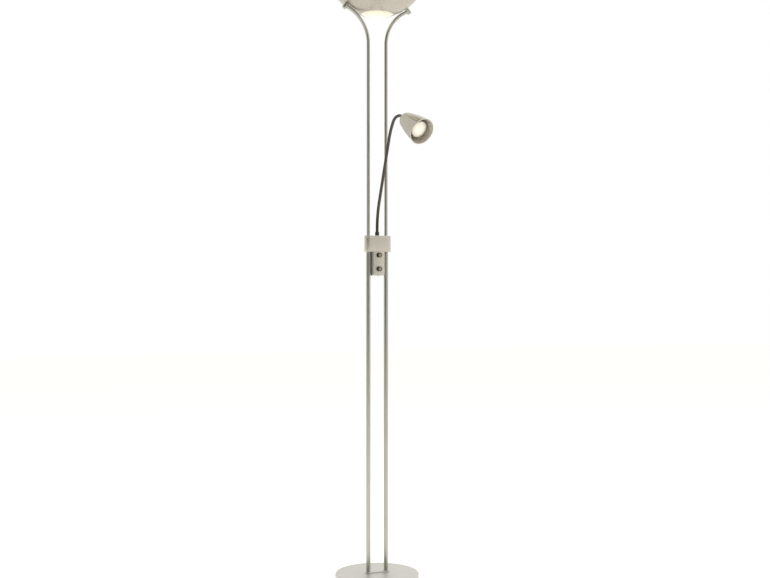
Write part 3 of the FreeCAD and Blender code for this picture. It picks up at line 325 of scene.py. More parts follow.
flange = (gland_high.z - gland_low.z) / 2
depth = gland_high.y - gland_low.y
gland = spun(rounded([
    (GLAND_BORE, 0), (GLAND_BARREL, 0, 0.4), (GLAND_BARREL, depth - GLAND_HEAD),
    (flange, depth - GLAND_HEAD, 0.3), (flange, depth, 0.6), (GLAND_BORE, depth, 0.6)]),
    closed=True, steps=64)
bmesh.ops.transform(gland, matrix=aimed((0, gland_low.y, gland_height), (0, 1, 0)),
                    verts=gland.verts)
notches = bmesh.new()
for notch in range(GLAND_NOTCHES):
    turn = math.tau * notch / GLAND_NOTCHES
    drill(notches, NOTCH_RADIUS, NOTCH_LENGTH,
          (flange * math.cos(turn), gland_high.y, gland_height + flange * math.sin(turn)), (0, 1, 0))
place_piece("cord_gland_moulded", carved(gland, notches), nylon, ["cord_gland"])

# ---------------------------------------------------------------- foot plate
# A small oblong steel plate with round ends under the two poles. It spreads their load on the
# cover and is plated as the cover is.

PLATE_ROUNDING = 0.8


def soften(bm, edges, radius, steps):
    """Rounds edges of a mesh."""
    bmesh.ops.bevel(bm, geom=edges, offset=radius, segments=steps, profile=0.5, affect="EDGES",
                    material=-1)


def stadium(spacing, radius, centre_y, low, high, rounding):
    """A plate with round ends, one round each pole, with its top and bottom rims rounded."""
    bm = bmesh.new()
    bmesh.ops.create_circle(bm, cap_ends=True, segments=96, radius=radius,
                            matrix=Matrix.Rotation(math.pi / 96, 4, "Z"))
    for vert in bm.verts:
        vert.co.x += math.copysign(spacing, vert.co.x)
    bmesh.ops.translate(bm, vec=(0, centre_y, low), verts=bm.verts)
    grown = bmesh.ops.extrude_face_region(bm, geom=bm.faces[:])
    raised = [item for item in grown["geom"] if isinstance(item, bmesh.types.BMVert)]
    bmesh.ops.translate(bm, vec=(0, 0, high - low), verts=raised)
    bmesh.ops.recalc_face_normals(bm, faces=bm.faces)
    rims = [edge for edge in bm.edges if abs(edge.verts[0].co.z - edge.verts[1].co.z) < 0.01]
    soften(bm, rims, rounding, 4)
    return bm


low, high = cad_box("foot_plate")
foot_radius = (high.y - low.y) / 2
pole_x = high.x - foot_radius
place_piece("foot_plate_milled", stadium(pole_x, foot_radius, 0, low.z, high.z, PLATE_ROUNDING),
            spun_nickel, ["foot_plate"])

# ---------------------------------------------------------------- lower poles
# Two drawn steel tubes of 13 mm stand on the foot plate, each held by a hollow nipple through
# the base. They are polished along their length and plated in satin nickel.

TUBE_WALL = 1.0
TUBE_ROUNDING = 0.3
SIDES = (("left", -1), ("right", 1))

tube_nickel = satin_nickel("satin_nickel_on_drawn_tube", ("b1afa5", "b9b8af"), (1, 1, 0.04),
                           (0.24, 0.36))

for side, sign in SIDES:
    low, high = cad_box(f"{side}_lower_tube")
    radius = (high.x - low.x) / 2
    tube = spun(rounded([
        (radius, low.z, TUBE_ROUNDING), (radius, high.z, TUBE_ROUNDING),
        (radius - TUBE_WALL, high.z, TUBE_ROUNDING), (radius - TUBE_WALL, low.z, TUBE_ROUNDING)]),
        closed=True, steps=64)
    bmesh.ops.translate(tube, vec=(pole_x * sign, 0, 0), verts=tube.verts)
    place_piece(f"{side}_lower_pole", tube, tube_nickel, [f"{side}_lower_tube"])

# ---------------------------------------------------------------- collar
# A milled block with round ends clamps both pairs of tubes, and a separate cap closes its top.
# Four small socket screws at the back hold the tubes.

COLLAR_ROUNDING = 0.6
SCREW_RADIUS = 2.0
SCREW_LENGTH = 4.0
SCREW_FIT = 0.1
SOCKET_WIDTH = 2.0
SOCKET_DEPTH = 1.2
OIL_FILM = 1.2

body_low, body_high = cad_box("collar_body")
cap_low, cap_high = cad_box("collar_cap")
collar_radius = (body_high.y - body_low.y) / 2
collar_y = (body_low.y + body_high.y) / 2
screw_low, screw_high = cad_box("collar_set_screws")
screw_face = screw_high.y
screw_levels = (screw_low.z + SCREW_RADIUS, screw_high.z - SCREW_RADIUS)

solid_nickel = satin_nickel("satin_nickel_on_milled_steel", ("c5c0b4", "cec9be"), (1, 1, 1),
                            (0.34, 0.46))
collar = stadium(pole_x, collar_radius, collar_y, body_low.z, body_high.z, COLLAR_ROUNDING)
screw_holes = bmesh.new()
for _, sign in SIDES:
    for level in screw_levels:
        drill(screw_holes, SCREW_RADIUS + SCREW_FIT, SCREW_LENGTH,
              (pole_x * sign, body_high.y, level), (0, 1, 0))
place_piece("collar_milled", carved(collar, screw_holes), solid_nickel,
            ["collar_body"])
place_piece("collar_cap_milled",
            stadium(pole_x, collar_radius, collar_y, cap_low.z, cap_high.z, COLLAR_ROUNDING),
            solid_nickel, ["collar_cap"])

# Black oxide leaves the screws a dark, slightly oily steel.
oxide, shader = new_material("black_oxide_steel", {
    "Base Color": linear("2a2a2b"), "Metallic": 0.9})
vary(oxide, shader, spots(oxide, OIL_FILM, 3), gloss=(0.35, 0.6))

screws = bmesh.new()
sockets = bmesh.new()
socket_radius = SOCKET_WIDTH / math.sqrt(3)
for _, sign in SIDES:
    for level in screw_levels:
        drill(screws, SCREW_RADIUS, SCREW_LENGTH,
              (pole_x * sign, screw_face - SCREW_LENGTH / 2, level), (0, 1, 0))
        drill(sockets, socket_radius, SOCKET_DEPTH * 2, (pole_x * sign, screw_face, level),
              (0, 1, 0), sides=6)
place_piece("collar_screws", carved(screws, sockets), oxide, ["collar_set_screws"])

# ---------------------------------------------------------------- control box
# Under the collar hangs the dimmers' box: a folded front cover in satin nickel, with softly
# rounded corners, over a rear half moulded in black plastic. Inside are the circuit board,
# its components and the dimmers, and screws hold the halves and the box to the collar.

BOX_WALL = 1.5
BOX_CORNER = 4.0
FACE_ROUNDING = 1.2
WEAVE = 0.8


def block(bm, centre, size):
    """Adds a box to a mesh."""
    bmesh.ops.create_cube(bm, size=1, matrix=Matrix.Translation(centre)
                          @ Matrix.Diagonal((*size, 1)))


def tray(low, high, open_side, corner, face_rounding, wall):
    """A box open at its front (-1) or back (1), with rounded bottom corners and a rounded face."""
    bm = bmesh.new()
    size = high - low
    block(bm, (low + high) / 2, size)
    floor_corners = [edge for edge in bm.edges
                     if all(abs(vert.co.z - low.z) < 0.01 for vert in edge.verts)
                     and abs(edge.verts[0].co.y - edge.verts[1].co.y) > 1]
    soften(bm, floor_corners, corner, 8)
    face_y, mouth_y = (low.y, high.y) if open_side > 0 else (high.y, low.y)
    face_rim = [edge for edge in bm.edges
                if all(abs(vert.co.y - face_y) < 0.01 for vert in edge.verts)
                and not all(abs(vert.co.z - high.z) < 0.01 for vert in edge.verts)]
    soften(bm, face_rim, face_rounding, 4)
    mouth = [face for face in bm.faces if face.normal.y * open_side > 0.99
             and abs(face.calc_center_median().y - mouth_y) < 0.01]
    bmesh.ops.inset_region(bm, faces=mouth, thickness=wall, use_even_offset=True)
    sunk = bmesh.ops.extrude_face_region(bm, geom=mouth)
    bmesh.ops.delete(bm, geom=mouth, context="FACES")
    moved = [item for item in sunk["geom"] if isinstance(item, bmesh.types.BMVert)]
    bmesh.ops.translate(bm, vec=(0, -open_side * (size.y - wall), 0), verts=moved)
    bmesh.ops.recalc_face_normals(bm, faces=bm.faces)
    return bm


knob_places = []
for level in ("upper", "lower"):
    low, high = cad_box(f"{level}_knob")
    knob_places.append((level, (low.z + high.z) / 2, low.y, high.y, (high.x - low.x) / 2))

low, high = cad_box("control_box_front")
place_piece("control_box_cover", tray(low, high, 1, BOX_CORNER, FACE_ROUNDING, BOX_WALL),
            solid_nickel, ["control_box_front"])
low, high = cad_box("control_box_rear")
low.y = cad_box("control_box_front")[1].y
place_piece("control_box_back", tray(low, high, -1, BOX_CORNER, FACE_ROUNDING, BOX_WALL),
            nylon, ["control_box_rear"])

# Glass-epoxy board under green solder resist: glossy, with the glass weave just showing.
board, shader = new_material("glass_epoxy_board", {"IOR": 1.55, "Roughness": 0.3})
place = add_node(board, "ShaderNodeTexCoord", {})
weave = add_node(board, "ShaderNodeTexVoronoi", {"Scale": per_metre(WEAVE)},
                 {"Vector": (place, "Object")})
vary(board, shader, weave, "Distance", tint=("1d5a34", "2b7446"))
coat(board, "control_board")

# Component cases are moulded in filled plastic: dark, dry and matt.
casing, shader = new_material("filled_component_plastic", {"IOR": 1.5})
vary(casing, shader, spots(casing, MOULD_TEXTURE, 4), tint=("232427", "34363a"), gloss=(0.5, 0.7))
coat(casing, "board_components", "dimmers")

# ---------------------------------------------------------------- dimmer knobs
# Two round knobs of black plastic, one over the other, push on to the dimmers' shafts. Each has
# a fine ribbed grip, an index notch at its rim, and a spun aluminium disc set in its end.

GRIP_RIBS = 40
GRIP_DEPTH = 0.25
KNOB_WALL = 1.5
KNOB_HOLLOW = 3.2
SKIRT_STEP = 0.3
SKIRT_HEIGHT = 1.2
SHAFT_RADIUS = 3.0
SHAFT_STOP = 2.0
INDEX_RADIUS = 0.45
INDEX_LENGTH = 3.0
DISC_SEAT = 1.2
DISC_CROWN = 0.35
INDEX_TURN = math.radians(225)
TURNING_MARK = 0.35


def turned_aluminium(name, tint, axis_height):
    """Aluminium faced on a lathe: pale metal with fine rings round its axis along Y."""
    material, shader = new_material(name, {"Metallic": 1.0})
    place = add_node(material, "ShaderNodeTexCoord", {})
    centred = add_node(material, "ShaderNodeMapping", {
        "Location": (0, 0, -axis_height * MM), "Scale": (1, 0, 1)}, {"Vector": (place, "Object")})
    centred.vector_type = "POINT"
    radius = add_node(material, "ShaderNodeVectorMath", {"operation": "LENGTH"},
                      {0: (centred, "Vector")})
    rings = add_node(material, "ShaderNodeTexNoise", {
        "noise_dimensions": "1D", "Scale": per_metre(TURNING_MARK), "Detail": 2},
        {"W": (radius, "Value")})
    vary(material, shader, rings, tint=tint, gloss=(0.25, 0.4), relief=(0.2, 0.05))
    return material


for level, axis_z, front, back, radius in knob_places:
    length = back - front
    knob = spun(rounded([
        (radius - KNOB_WALL, 0), (radius - SKIRT_STEP, 0, 0.2), (radius, SKIRT_HEIGHT, 0.3),
        (radius, length, 0.9), (radius - KNOB_WALL, length, 0.2),
        (radius - KNOB_WALL, length - DISC_SEAT), (0, length - DISC_SEAT), (0, length - SHAFT_STOP),
        (SHAFT_RADIUS, length - SHAFT_STOP), (SHAFT_RADIUS, KNOB_HOLLOW),
        (radius - KNOB_WALL, KNOB_HOLLOW)], steps=4), steps=GRIP_RIBS * 4)
    for vert in knob.verts:
        across = math.hypot(vert.co.x, vert.co.y)
        if across > radius - 0.02 and SKIRT_HEIGHT + 0.2 < vert.co.z < length - 0.8:
            wave = (1 + math.cos(GRIP_RIBS * math.atan2(vert.co.y, vert.co.x))) / 2
            shrink = 1 - GRIP_DEPTH * wave / across
            vert.co.x *= shrink
            vert.co.y *= shrink
    index = bmesh.new()
    drill(index, INDEX_RADIUS, INDEX_LENGTH,
          (radius * math.cos(INDEX_TURN), radius * math.sin(INDEX_TURN), length), UP)
    knob = carved(knob, index)
    # The lathe's axis becomes -Y, and what was +Y across it points up.
    upright = Matrix.Translation((0, back, axis_z)) @ Matrix.Rotation(math.pi / 2, 4, "X")
    bmesh.ops.transform(knob, matrix=upright, verts=knob.verts)
    place_piece(f"{level}_knob_moulded", knob, nylon, [f"{level}_knob"],
                f"{level}_control")
    disc_radius = radius - KNOB_WALL - 0.05
    disc = spun(rounded([
        (0, length - DISC_SEAT), (disc_radius, length - DISC_SEAT),
        (disc_radius, length - DISC_CROWN - 0.1, 0.2), (disc_radius - 1.4, length - DISC_CROWN),
        (0, length - 0.02)]), steps=64)
    bmesh.ops.transform(disc, matrix=upright, verts=disc.verts)
    disc_aluminium = turned_aluminium(f"{level}_turned_disc", ("857f72", "9f998b"), axis_z)
    place_piece(f"{level}_knob_disc", disc, disc_aluminium,
                [f"{level}_knob_cap"], f"{level}_control")
    coat(turned_aluminium(f"{level}_turned_shaft", ("b4b4b3", "c9c9c8"), axis_z),
         f"{level}_dimmer_shaft")

# ---------------------------------------------------------------- gooseneck
# A flexible metal hose wound from steel strip, 9 mm thick, plated in black nickel. A turned
# ferrule holds each end. Where the imported model has eight stiff links, each piece here spans
# one of the nine hinges, from the middle of a link to the middle of the next.

NECK_AZIMUTH = math.radians(16.7)
NECK_RISE = 20.0
LOWER_BEND = 330.0
NECK_LEAN = math.radians(14.5)
NECK_STRAIGHT = 188.0
UPPER_BEND = 190.0
CROOK_LEAN = math.radians(30.0)
HOOK_BEND = 30.0
HEAD_LEAN = math.radians(120.6)
HEAD_FERRULE = 6.0
NECK_RADIUS = 4.5
NECK_BORE = 1.8
NECK_LINKS = 8
STRIP_PITCH = 2.0
STRIP_GROOVE = 0.3
GROOVE_SHARE = 0.12
BLEND_SHARE = 0.42
FERRULE_HEIGHT = 12.0
FERRULE_FIT = 0.3
FERRULE_GAP = 0.2
STUD_RADIUS = 4.0
STUD_TOP = 4.0
NECK_RUNS = (
    (NECK_RISE, 0, 0),
    (LOWER_BEND * NECK_LEAN, 0, NECK_LEAN),
    (NECK_STRAIGHT, NECK_LEAN, NECK_LEAN),
    (UPPER_BEND * (CROOK_LEAN - NECK_LEAN), NECK_LEAN, CROOK_LEAN),
    (HOOK_BEND * (HEAD_LEAN - CROOK_LEAN), CROOK_LEAN, HEAD_LEAN),
    (HEAD_FERRULE, HEAD_LEAN, HEAD_LEAN))

neck_out = Vector((math.sin(NECK_AZIMUTH), -math.cos(NECK_AZIMUTH), 0))
neck_side = UP.cross(neck_out)


def neck_at(distance):
    """Point and direction of the neck's middle line at a distance above the collar."""
    spot = Vector((0, 0, cap_high.z))
    for length, lean_from, lean_to in NECK_RUNS:
        done = min(distance, length)
        lean = lean_from + (lean_to - lean_from) * done / length
        if lean_to == lean_from:
            spot += (neck_out * math.sin(lean) + UP * math.cos(lean)) * done
        else:
            bend = length / (lean_to - lean_from)
            spot += neck_out * (bend * (math.cos(lean_from) - math.cos(lean)))
            spot += UP * (bend * (math.sin(lean) - math.sin(lean_from)))
        distance -= done
        if distance <= 0:
            break
    return spot, neck_out * math.sin(lean) + UP * math.cos(lean)


def hose(start, end):
    """A stretch of wound strip hose along the neck: flat turns with a narrow groove between."""
    turns = round((end - start) / STRIP_PITCH)
    pitch = (end - start) / turns
    outside = []
    for turn in range(turns):
        low = start + pitch * turn
        outside += [(NECK_RADIUS - STRIP_GROOVE, low), (NECK_RADIUS, low + pitch * GROOVE_SHARE),
                    (NECK_RADIUS, low + pitch * (1 - GROOVE_SHARE))]
    outside.append((NECK_RADIUS - STRIP_GROOVE, end))
    inside = [(NECK_BORE, end - pitch * turn) for turn in range(turns + 1)]
    bm = spun(outside + inside, closed=True, steps=32)
    for vert in bm.verts:
        spot, heading = neck_at(vert.co.z)
        vert.co = spot + neck_side * vert.co.x + heading.cross(neck_side) * vert.co.y
    return bm


# Black nickel over polished strip: a dark metal with a clear, slightly rubbed gloss.
black_nickel, shader = new_material("black_nickel_on_wound_strip", {"Metallic": 1.0})
vary(black_nickel, shader, spots(black_nickel, STRIP_PITCH, 4), tint=("504d47", "67635c"),
     gloss=(0.12, 0.22))

low, high = cad_box("neck_base_ferrule")
ferrule_radius = (high.x - low.x) / 2
neck_end = sum(length for length, _, _ in NECK_RUNS)
first_hinge = FERRULE_HEIGHT
last_hinge = neck_end - HEAD_FERRULE
link = (last_hinge - first_hinge) / NECK_LINKS
neck_bodies = ["root"] + [f"neck_segment_{number}" for number in range(1, NECK_LINKS + 1)]
neck_bodies.append("reading_head")
for hinge in range(NECK_LINKS + 1):
    middle = first_hinge + link * hinge
    start = max(middle - link / 2, first_hinge - 4)
    end = min(middle + link / 2, last_hinge + 3)
    stands_for = [f"neck_{hinge + 1}"] if hinge < NECK_LINKS else []
    piece = place_piece(f"neck_hose_{hinge + 1}", hose(start, end), black_nickel,
                        stands_for, None, crease=20)
    blend_from = neck_at(max(middle - link * BLEND_SHARE, first_hinge))[0]
    blend_to = neck_at(min(middle + link * BLEND_SHARE, last_hinge))[0]
    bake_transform(piece)

hose_radius = NECK_RADIUS + FERRULE_FIT
ferrule_top = cap_high.z + FERRULE_HEIGHT
ferrule = spun(rounded([
    (NECK_BORE, cap_low.z), (STUD_RADIUS, cap_low.z), (STUD_RADIUS, cap_high.z),
    (ferrule_radius, cap_high.z, 0.4), (ferrule_radius, ferrule_top - FERRULE_GAP, 1.0),
    (hose_radius, ferrule_top - FERRULE_GAP, 0.3), (hose_radius, ferrule_top - 3),
    (NECK_BORE, ferrule_top - 3)]), closed=True, steps=64)
place_piece("neck_ferrule", ferrule, black_nickel, ["neck_base_ferrule"])

head_spot, head_aim = neck_at(neck_end)
head_frame = Matrix.Translation(head_spot) @ Matrix((
    neck_side, head_aim.cross(neck_side), head_aim)).transposed().to_4x4()
ferrule = spun(rounded([
    (NECK_BORE, STUD_TOP), (STUD_RADIUS, STUD_TOP), (STUD_RADIUS, 0), (ferrule_radius, 0, 0.3),
    (ferrule_radius, FERRULE_GAP - HEAD_FERRULE, 1.0), (hose_radius, FERRULE_GAP - HEAD_FERRULE, 0.3),
    (hose_radius, -2.5), (NECK_BORE, -2.5)]), closed=True, steps=64)
bmesh.ops.transform(ferrule, matrix=head_frame, verts=ferrule.verts)
place_piece("head_ferrule_turned", ferrule, black_nickel, ["head_ferrule"],
            "reading_head")

# ---------------------------------------------------------------- reading shade
# A cone with a domed rear, spun from thin steel and enamelled satin grey-beige. Its mouth has a
# small rolled lip, and a nut on the hollow stud holds it to the gooseneck's ferrule.

SHADE_WALL = 1.2
SHADE_LENGTH = 99.0
MOUTH_RADIUS = 38.5
WAIST_RADIUS = 24.8
DOME_DEPTH = 25.0
DOME_RADIUS = 35.0
SIDE_RADIUS = 350.0
REAR_RADIUS = 9.0
SHADE_LIP = 0.8
ORANGE_PEEL = 2.2


def satin_enamel(name, tint, gloss, flake=0.5):
    """Sprayed and stoved satin enamel with some metal flake: an even colour, a soft gloss and a
    faint orange peel."""
    material, shader = new_material(name, {"Metallic": flake, "IOR": 1.5, "Coat Weight": 0.2,
                                           "Coat Roughness": 0.12})
    vary(material, shader, spots(material, PLATING_CLOUD, 2), tint=tint)
    vary(material, shader, spots(material, ORANGE_PEEL, 2), gloss=gloss, relief=(0.05, 0.1))
    return material


def arc(first, last, radius, side, steps):
    """Points of a short arc between two corners; its centre is on the left (1) or right (-1)."""
    start, end = Vector(first), Vector(last)
    chord = end - start
    lift = math.sqrt(radius ** 2 - (chord.length / 2) ** 2)
    centre = (start + end) / 2 + Vector((-chord.y, chord.x)).normalized() * lift * side
    turn = 2 * math.asin(chord.length / 2 / radius) * side
    return [centre + Matrix.Rotation(turn * step / steps, 2) @ (start - centre)
            for step in range(steps + 1)]


def coat_some(piece, material, chosen):
    """Gives the chosen faces of a piece a second material."""
    piece.data.materials.append(material)
    for face in piece.data.polygons:
        if chosen(face):
            face.material_index = 1


def inside_shade(face):
    """Whether a face of the shade looks in towards its axis."""
    from_foot = face.center - head_spot * MM
    along = from_foot.dot(head_aim)
    return along > SHADE_WALL * MM and face.normal.dot(from_foot - head_aim * along) < 0


shade_enamel = satin_enamel("satin_enamel_grey_beige", ("b1aca0", "b8b3a8"), (0.16, 0.22), 0.85)
waist = (WAIST_RADIUS, DOME_DEPTH)
inner_waist = (WAIST_RADIUS - SHADE_WALL, DOME_DEPTH)
mouth = (MOUTH_RADIUS, SHADE_LENGTH - SHADE_LIP * 2)
outside = arc((REAR_RADIUS, 0), waist, DOME_RADIUS, 1, 14)
outside += arc(waist, mouth, SIDE_RADIUS, 1, 12)[1:]
outside += rounded([
    waist, mouth,
    (MOUTH_RADIUS + SHADE_LIP, SHADE_LENGTH - SHADE_LIP * 1.6, SHADE_LIP / 2),
    (MOUTH_RADIUS + SHADE_LIP, SHADE_LENGTH, SHADE_LIP * 0.8),
    (MOUTH_RADIUS - SHADE_WALL, SHADE_LENGTH, 0.3)])[2:]
inside = arc((MOUTH_RADIUS - SHADE_WALL, SHADE_LENGTH - SHADE_LIP), inner_waist,
             SIDE_RADIUS - SHADE_WALL, -1, 12)
inside += arc(inner_waist, (REAR_RADIUS, SHADE_WALL), DOME_RADIUS - SHADE_WALL, -1, 14)[1:]
shade = spun([(STUD_RADIUS, 0)] + outside + inside + [(STUD_RADIUS, SHADE_WALL)], closed=True,
             steps=128)
bmesh.ops.transform(shade, matrix=head_frame, verts=shade.verts)
shade_piece = place_piece("reading_shade_spun", shade, shade_enamel,
                          ["reading_shade"], "reading_head")
# Painted light: the inside gets a paler, drier copy of the enamel, which stands in for the reading
# lamp's light falling on the inner wall.
shade_inside_painted_light = satin_enamel("satin_enamel_shade_inside_painted_light", ("d0cabc", "d9d3c5"), (0.5, 0.6), 0.0)
coat_some(shade_piece, shade_inside_painted_light, inside_shade)

# ---------------------------------------------------------------- reading lamp
# A reflector lamp sits in a ceramic holder, set back in the shade. Its cast aluminium body flares
# to a rim round a frosted, faintly dimpled lens, which glows a warm white.

LAMP_RECESS = 14.6
LAMP_RADIUS = 25.0
LENS_RADIUS = 23.0
LAMP_RIM = 4.0
LENS_DEPTH = 3.0
LENS_CROWN = 1.4
HOLDER_RADIUS = 12.0
PIN_RADIUS = 10.0
LAMP_BACK = 30.4
PIN_LENGTH = 4.0
LENS_FIT = 0.05
LENS_INSET = 0.5
DIMPLE = 3.0
LENS_EDGE_START = 0.4
STEATITE_GRAIN = 1.5

# Cast aluminium, shot-blasted and lacquered: light grey, matt, with a fine even grain.
cast, shader = new_material("blasted_cast_aluminium", {"Metallic": 0.85})
vary(cast, shader, spots(cast, MOULD_TEXTURE, 4), tint=("b3ada2", "c4beb3"), gloss=(0.4, 0.55))

face = SHADE_LENGTH - LAMP_RECESS
pin_end = LAMP_BACK + PIN_LENGTH
lens_back = face - LENS_DEPTH
flare = arc((HOLDER_RADIUS, pin_end), (LAMP_RADIUS, face - LAMP_RIM), LAMP_RADIUS * 3, 1, 12)
lamp = spun([(0, LAMP_BACK), (PIN_RADIUS, LAMP_BACK), (PIN_RADIUS, pin_end)] + flare + rounded([
    (LAMP_RADIUS, face - LAMP_RIM), (LAMP_RADIUS, face, 0.8), (LENS_RADIUS, face, 0.6),
    (LENS_RADIUS, lens_back), (0, lens_back)])[1:], steps=96)
bmesh.ops.transform(lamp, matrix=head_frame, verts=lamp.verts)
place_piece("reading_lamp_body", lamp, cast, ["reading_lamp"], "reading_head")

# Frosted pressed glass, lit from behind: warm white, dimmer between its dimples and at its edge.
lens, shader = new_material("frosted_pressed_glass", {
    "Base Color": linear("8f8a80"), "IOR": 1.5, "Roughness": 0.35,
    "Emission Color": linear("fff6e4")})
lens_centre = head_frame @ Vector((0, 0, lens_back)) * MM
place = add_node(lens, "ShaderNodeTexCoord", {})
centred = add_node(lens, "ShaderNodeMapping", {"Location": -lens_centre},
                   {"Vector": (place, "Object")})
reach = add_node(lens, "ShaderNodeVectorMath", {"operation": "LENGTH"}, {0: (centred, "Vector")})
falloff = add_node(lens, "ShaderNodeMapRange", {
    "From Min": LENS_RADIUS * LENS_EDGE_START * MM, "From Max": LENS_RADIUS * MM,
    "To Min": 0.95, "To Max": 0.55}, {"Value": (reach, "Value")})
dimples = add_node(lens, "ShaderNodeTexVoronoi", {"Scale": per_metre(DIMPLE)},
                   {"Vector": (place, "Object")})
facets = add_node(lens, "ShaderNodeMapRange", {"To Min": 1.0, "To Max": 0.75},
                  {"Value": (dimples, "Distance")})
add_node(lens, "ShaderNodeMath", {"operation": "MULTIPLY"},
         {0: (falloff, "Result"), 1: (facets, "Result")}, {"Value": [(shader, "Emission Strength")]})
vary(lens, shader, dimples, "Distance", relief=(0.3, 0.4))

crown_radius = (LENS_RADIUS ** 2 + LENS_CROWN ** 2) / (2 * LENS_CROWN)
glass_radius = LENS_RADIUS - LENS_FIT
crown_top = face - LENS_INSET
glass = spun([(0, lens_back), (glass_radius, lens_back)] + arc(
    (glass_radius, crown_top - LENS_CROWN), (0, crown_top), crown_radius, 1, 12), steps=96)
bmesh.ops.transform(glass, matrix=head_frame, verts=glass.verts)
place_piece("reading_lamp_glass", glass, lens, ["reading_lamp_lens"], "reading_head")

# Steatite is a dense white ceramic, pressed and fired: creamy, unglazed and slightly chalky.
steatite, shader = new_material("fired_steatite", {"IOR": 1.58})
vary(steatite, shader, spots(steatite, STEATITE_GRAIN, 5), tint=("ded8cb", "efebe2"),
     gloss=(0.45, 0.65))
coat(steatite, "reading_lamp_holder")

# ---------------------------------------------------------------- upper poles and arms
# Two thinner tubes of 10 mm slide into the collar. Above, each is bent outwards once and ends
# in a boss on the bowl. They are drawn, bent and plated as the lower tubes are.

ARM_RADIUS = 5.0
ARM_TURN = math.radians(66.0)
ARM_TAIL = 6.0
BOWL_RADIUS = 155.0
RIM_RADIUS = 149.7
BEAD_RADIUS = 1.3
BOSS_ANGLE = math.radians(37.8)
BOSS_RADIUS = 6.5
BOSS_LENGTH = 16.0
BOSS_SEAT = 1.5
BOSS_SEAT_RADIUS = 5.0
BOSS_BORE = 4.0
BOSS_FLOOR = 2.5
BOSS_BITE = 0.1

bowl_high = cad_box("bowl_shell")[1]
rim_height = bowl_high.z - BEAD_RADIUS
sphere_height = rim_height + math.sqrt(BOWL_RADIUS ** 2 - RIM_RADIUS ** 2)
boss_middle = BOWL_RADIUS + BOSS_SEAT + BOSS_LENGTH / 2


def boss_aim(sign):
    """The direction of a boss's axis, from the bowl's sphere outwards."""
    return Vector((math.sin(BOSS_ANGLE) * sign, 0, -math.cos(BOSS_ANGLE)))


def grown_loop(bm, edges, shift):
    """Extrudes a loop of edges by a shift and returns the new loop."""
    grown = bmesh.ops.extrude_edge_only(bm, edges=edges)["geom"]
    verts = [item for item in grown if isinstance(item, bmesh.types.BMVert)]
    bmesh.ops.translate(bm, vec=shift, verts=verts)
    return [edge for edge in grown if isinstance(edge, bmesh.types.BMEdge)
            and all(vert in grown for vert in edge.verts)]


for side, sign in SIDES:
    foot = cad_box(f"{side}_upper_tube")[0].z
    arm_end = Vector((0, 0, sphere_height)) + boss_aim(sign) * boss_middle
    arm_bend = (abs(arm_end.x) - pole_x - ARM_TAIL * math.sin(ARM_TURN)) / (1 - math.cos(ARM_TURN))
    bend_start = arm_end.z - ARM_TAIL * math.cos(ARM_TURN) - arm_bend * math.sin(ARM_TURN)
    arm = bmesh.new()
    bmesh.ops.create_circle(arm, segments=48, radius=ARM_RADIUS,
                            matrix=Matrix.Translation((pole_x * sign, 0, foot)))
    loop = grown_loop(arm, arm.edges[:], (0, 0, bend_start - foot))
    bent = bmesh.ops.spin(arm, geom=loop + list({vert for edge in loop for vert in edge.verts}),
                          cent=((pole_x + arm_bend) * sign, 0, bend_start), axis=(0, sign, 0),
                          angle=ARM_TURN, steps=32)
    loop = [item for item in bent["geom_last"] if isinstance(item, bmesh.types.BMEdge)]
    tail = Vector((math.sin(ARM_TURN) * sign, 0, math.cos(ARM_TURN))) * ARM_TAIL
    grown_loop(arm, loop, tail)
    bmesh.ops.remove_doubles(arm, verts=arm.verts, dist=0.001)
    bmesh.ops.holes_fill(arm, edges=arm.edges, sides=0)
    bmesh.ops.recalc_face_normals(arm, faces=arm.faces)
    place_piece(f"{side}_arm", arm, tube_nickel, [f"{side}_upper_tube"])

# ---------------------------------------------------------------- arm bosses
# A short turned boss on the end of each arm stands square on the bowl. A hollow nipple through
# the bowl's wall screws into it. It is turned from steel bar and plated as the tubes are.

bosses = bmesh.new()
seat_foot = BOWL_RADIUS - BOSS_BITE
seat_top = BOWL_RADIUS + BOSS_SEAT
boss_end = seat_top + BOSS_LENGTH
for _, sign in SIDES:
    boss = spun(rounded([
        (BOSS_BORE, seat_foot), (BOSS_SEAT_RADIUS, seat_foot), (BOSS_SEAT_RADIUS, seat_top),
        (BOSS_RADIUS, seat_top, 0.5), (BOSS_RADIUS, boss_end, 0.8), (0, boss_end),
        (0, boss_end - BOSS_FLOOR), (BOSS_BORE, boss_end - BOSS_FLOOR)]), closed=True, steps=64)
    bmesh.ops.transform(boss, matrix=aimed((0, 0, sphere_height), boss_aim(sign)), verts=boss.verts)
    turned = mesh_of("boss", boss)
    bosses.from_mesh(turned)
    bpy.data.meshes.remove(turned)
place_piece("arm_bosses_turned", bosses, tube_nickel, ["arm_bosses"])

# ---------------------------------------------------------------- uplight bowl
# A wide shallow bowl spun from steel, with a rolled rim and a round opening in its bottom. It is
# enamelled satin beige outside, and white inside, where it throws the lamp's light upwards.

BOWL_WALL = 1.2
OPENING_RADIUS = 50.0
LIP_RADIUS = 47.0

bowl_enamel = satin_enamel("satin_enamel_beige", ("b3ada0", "bab4a7"), (0.24, 0.32))
white_enamel = satin_enamel("white_reflecting_enamel", ("eeece4", "f4f2ec"), (0.35, 0.45), 0.0)
inner = BOWL_RADIUS - BOWL_WALL
bowl_centre = Vector((0, 0, sphere_height)) * MM


def inside_bowl(face):
    """Whether a face of the bowl is on its inner wall and looks in."""
    to_centre = bowl_centre - face.center
    return face.normal.dot(to_centre) > 0 and to_centre.length < (inner + 0.2) * MM


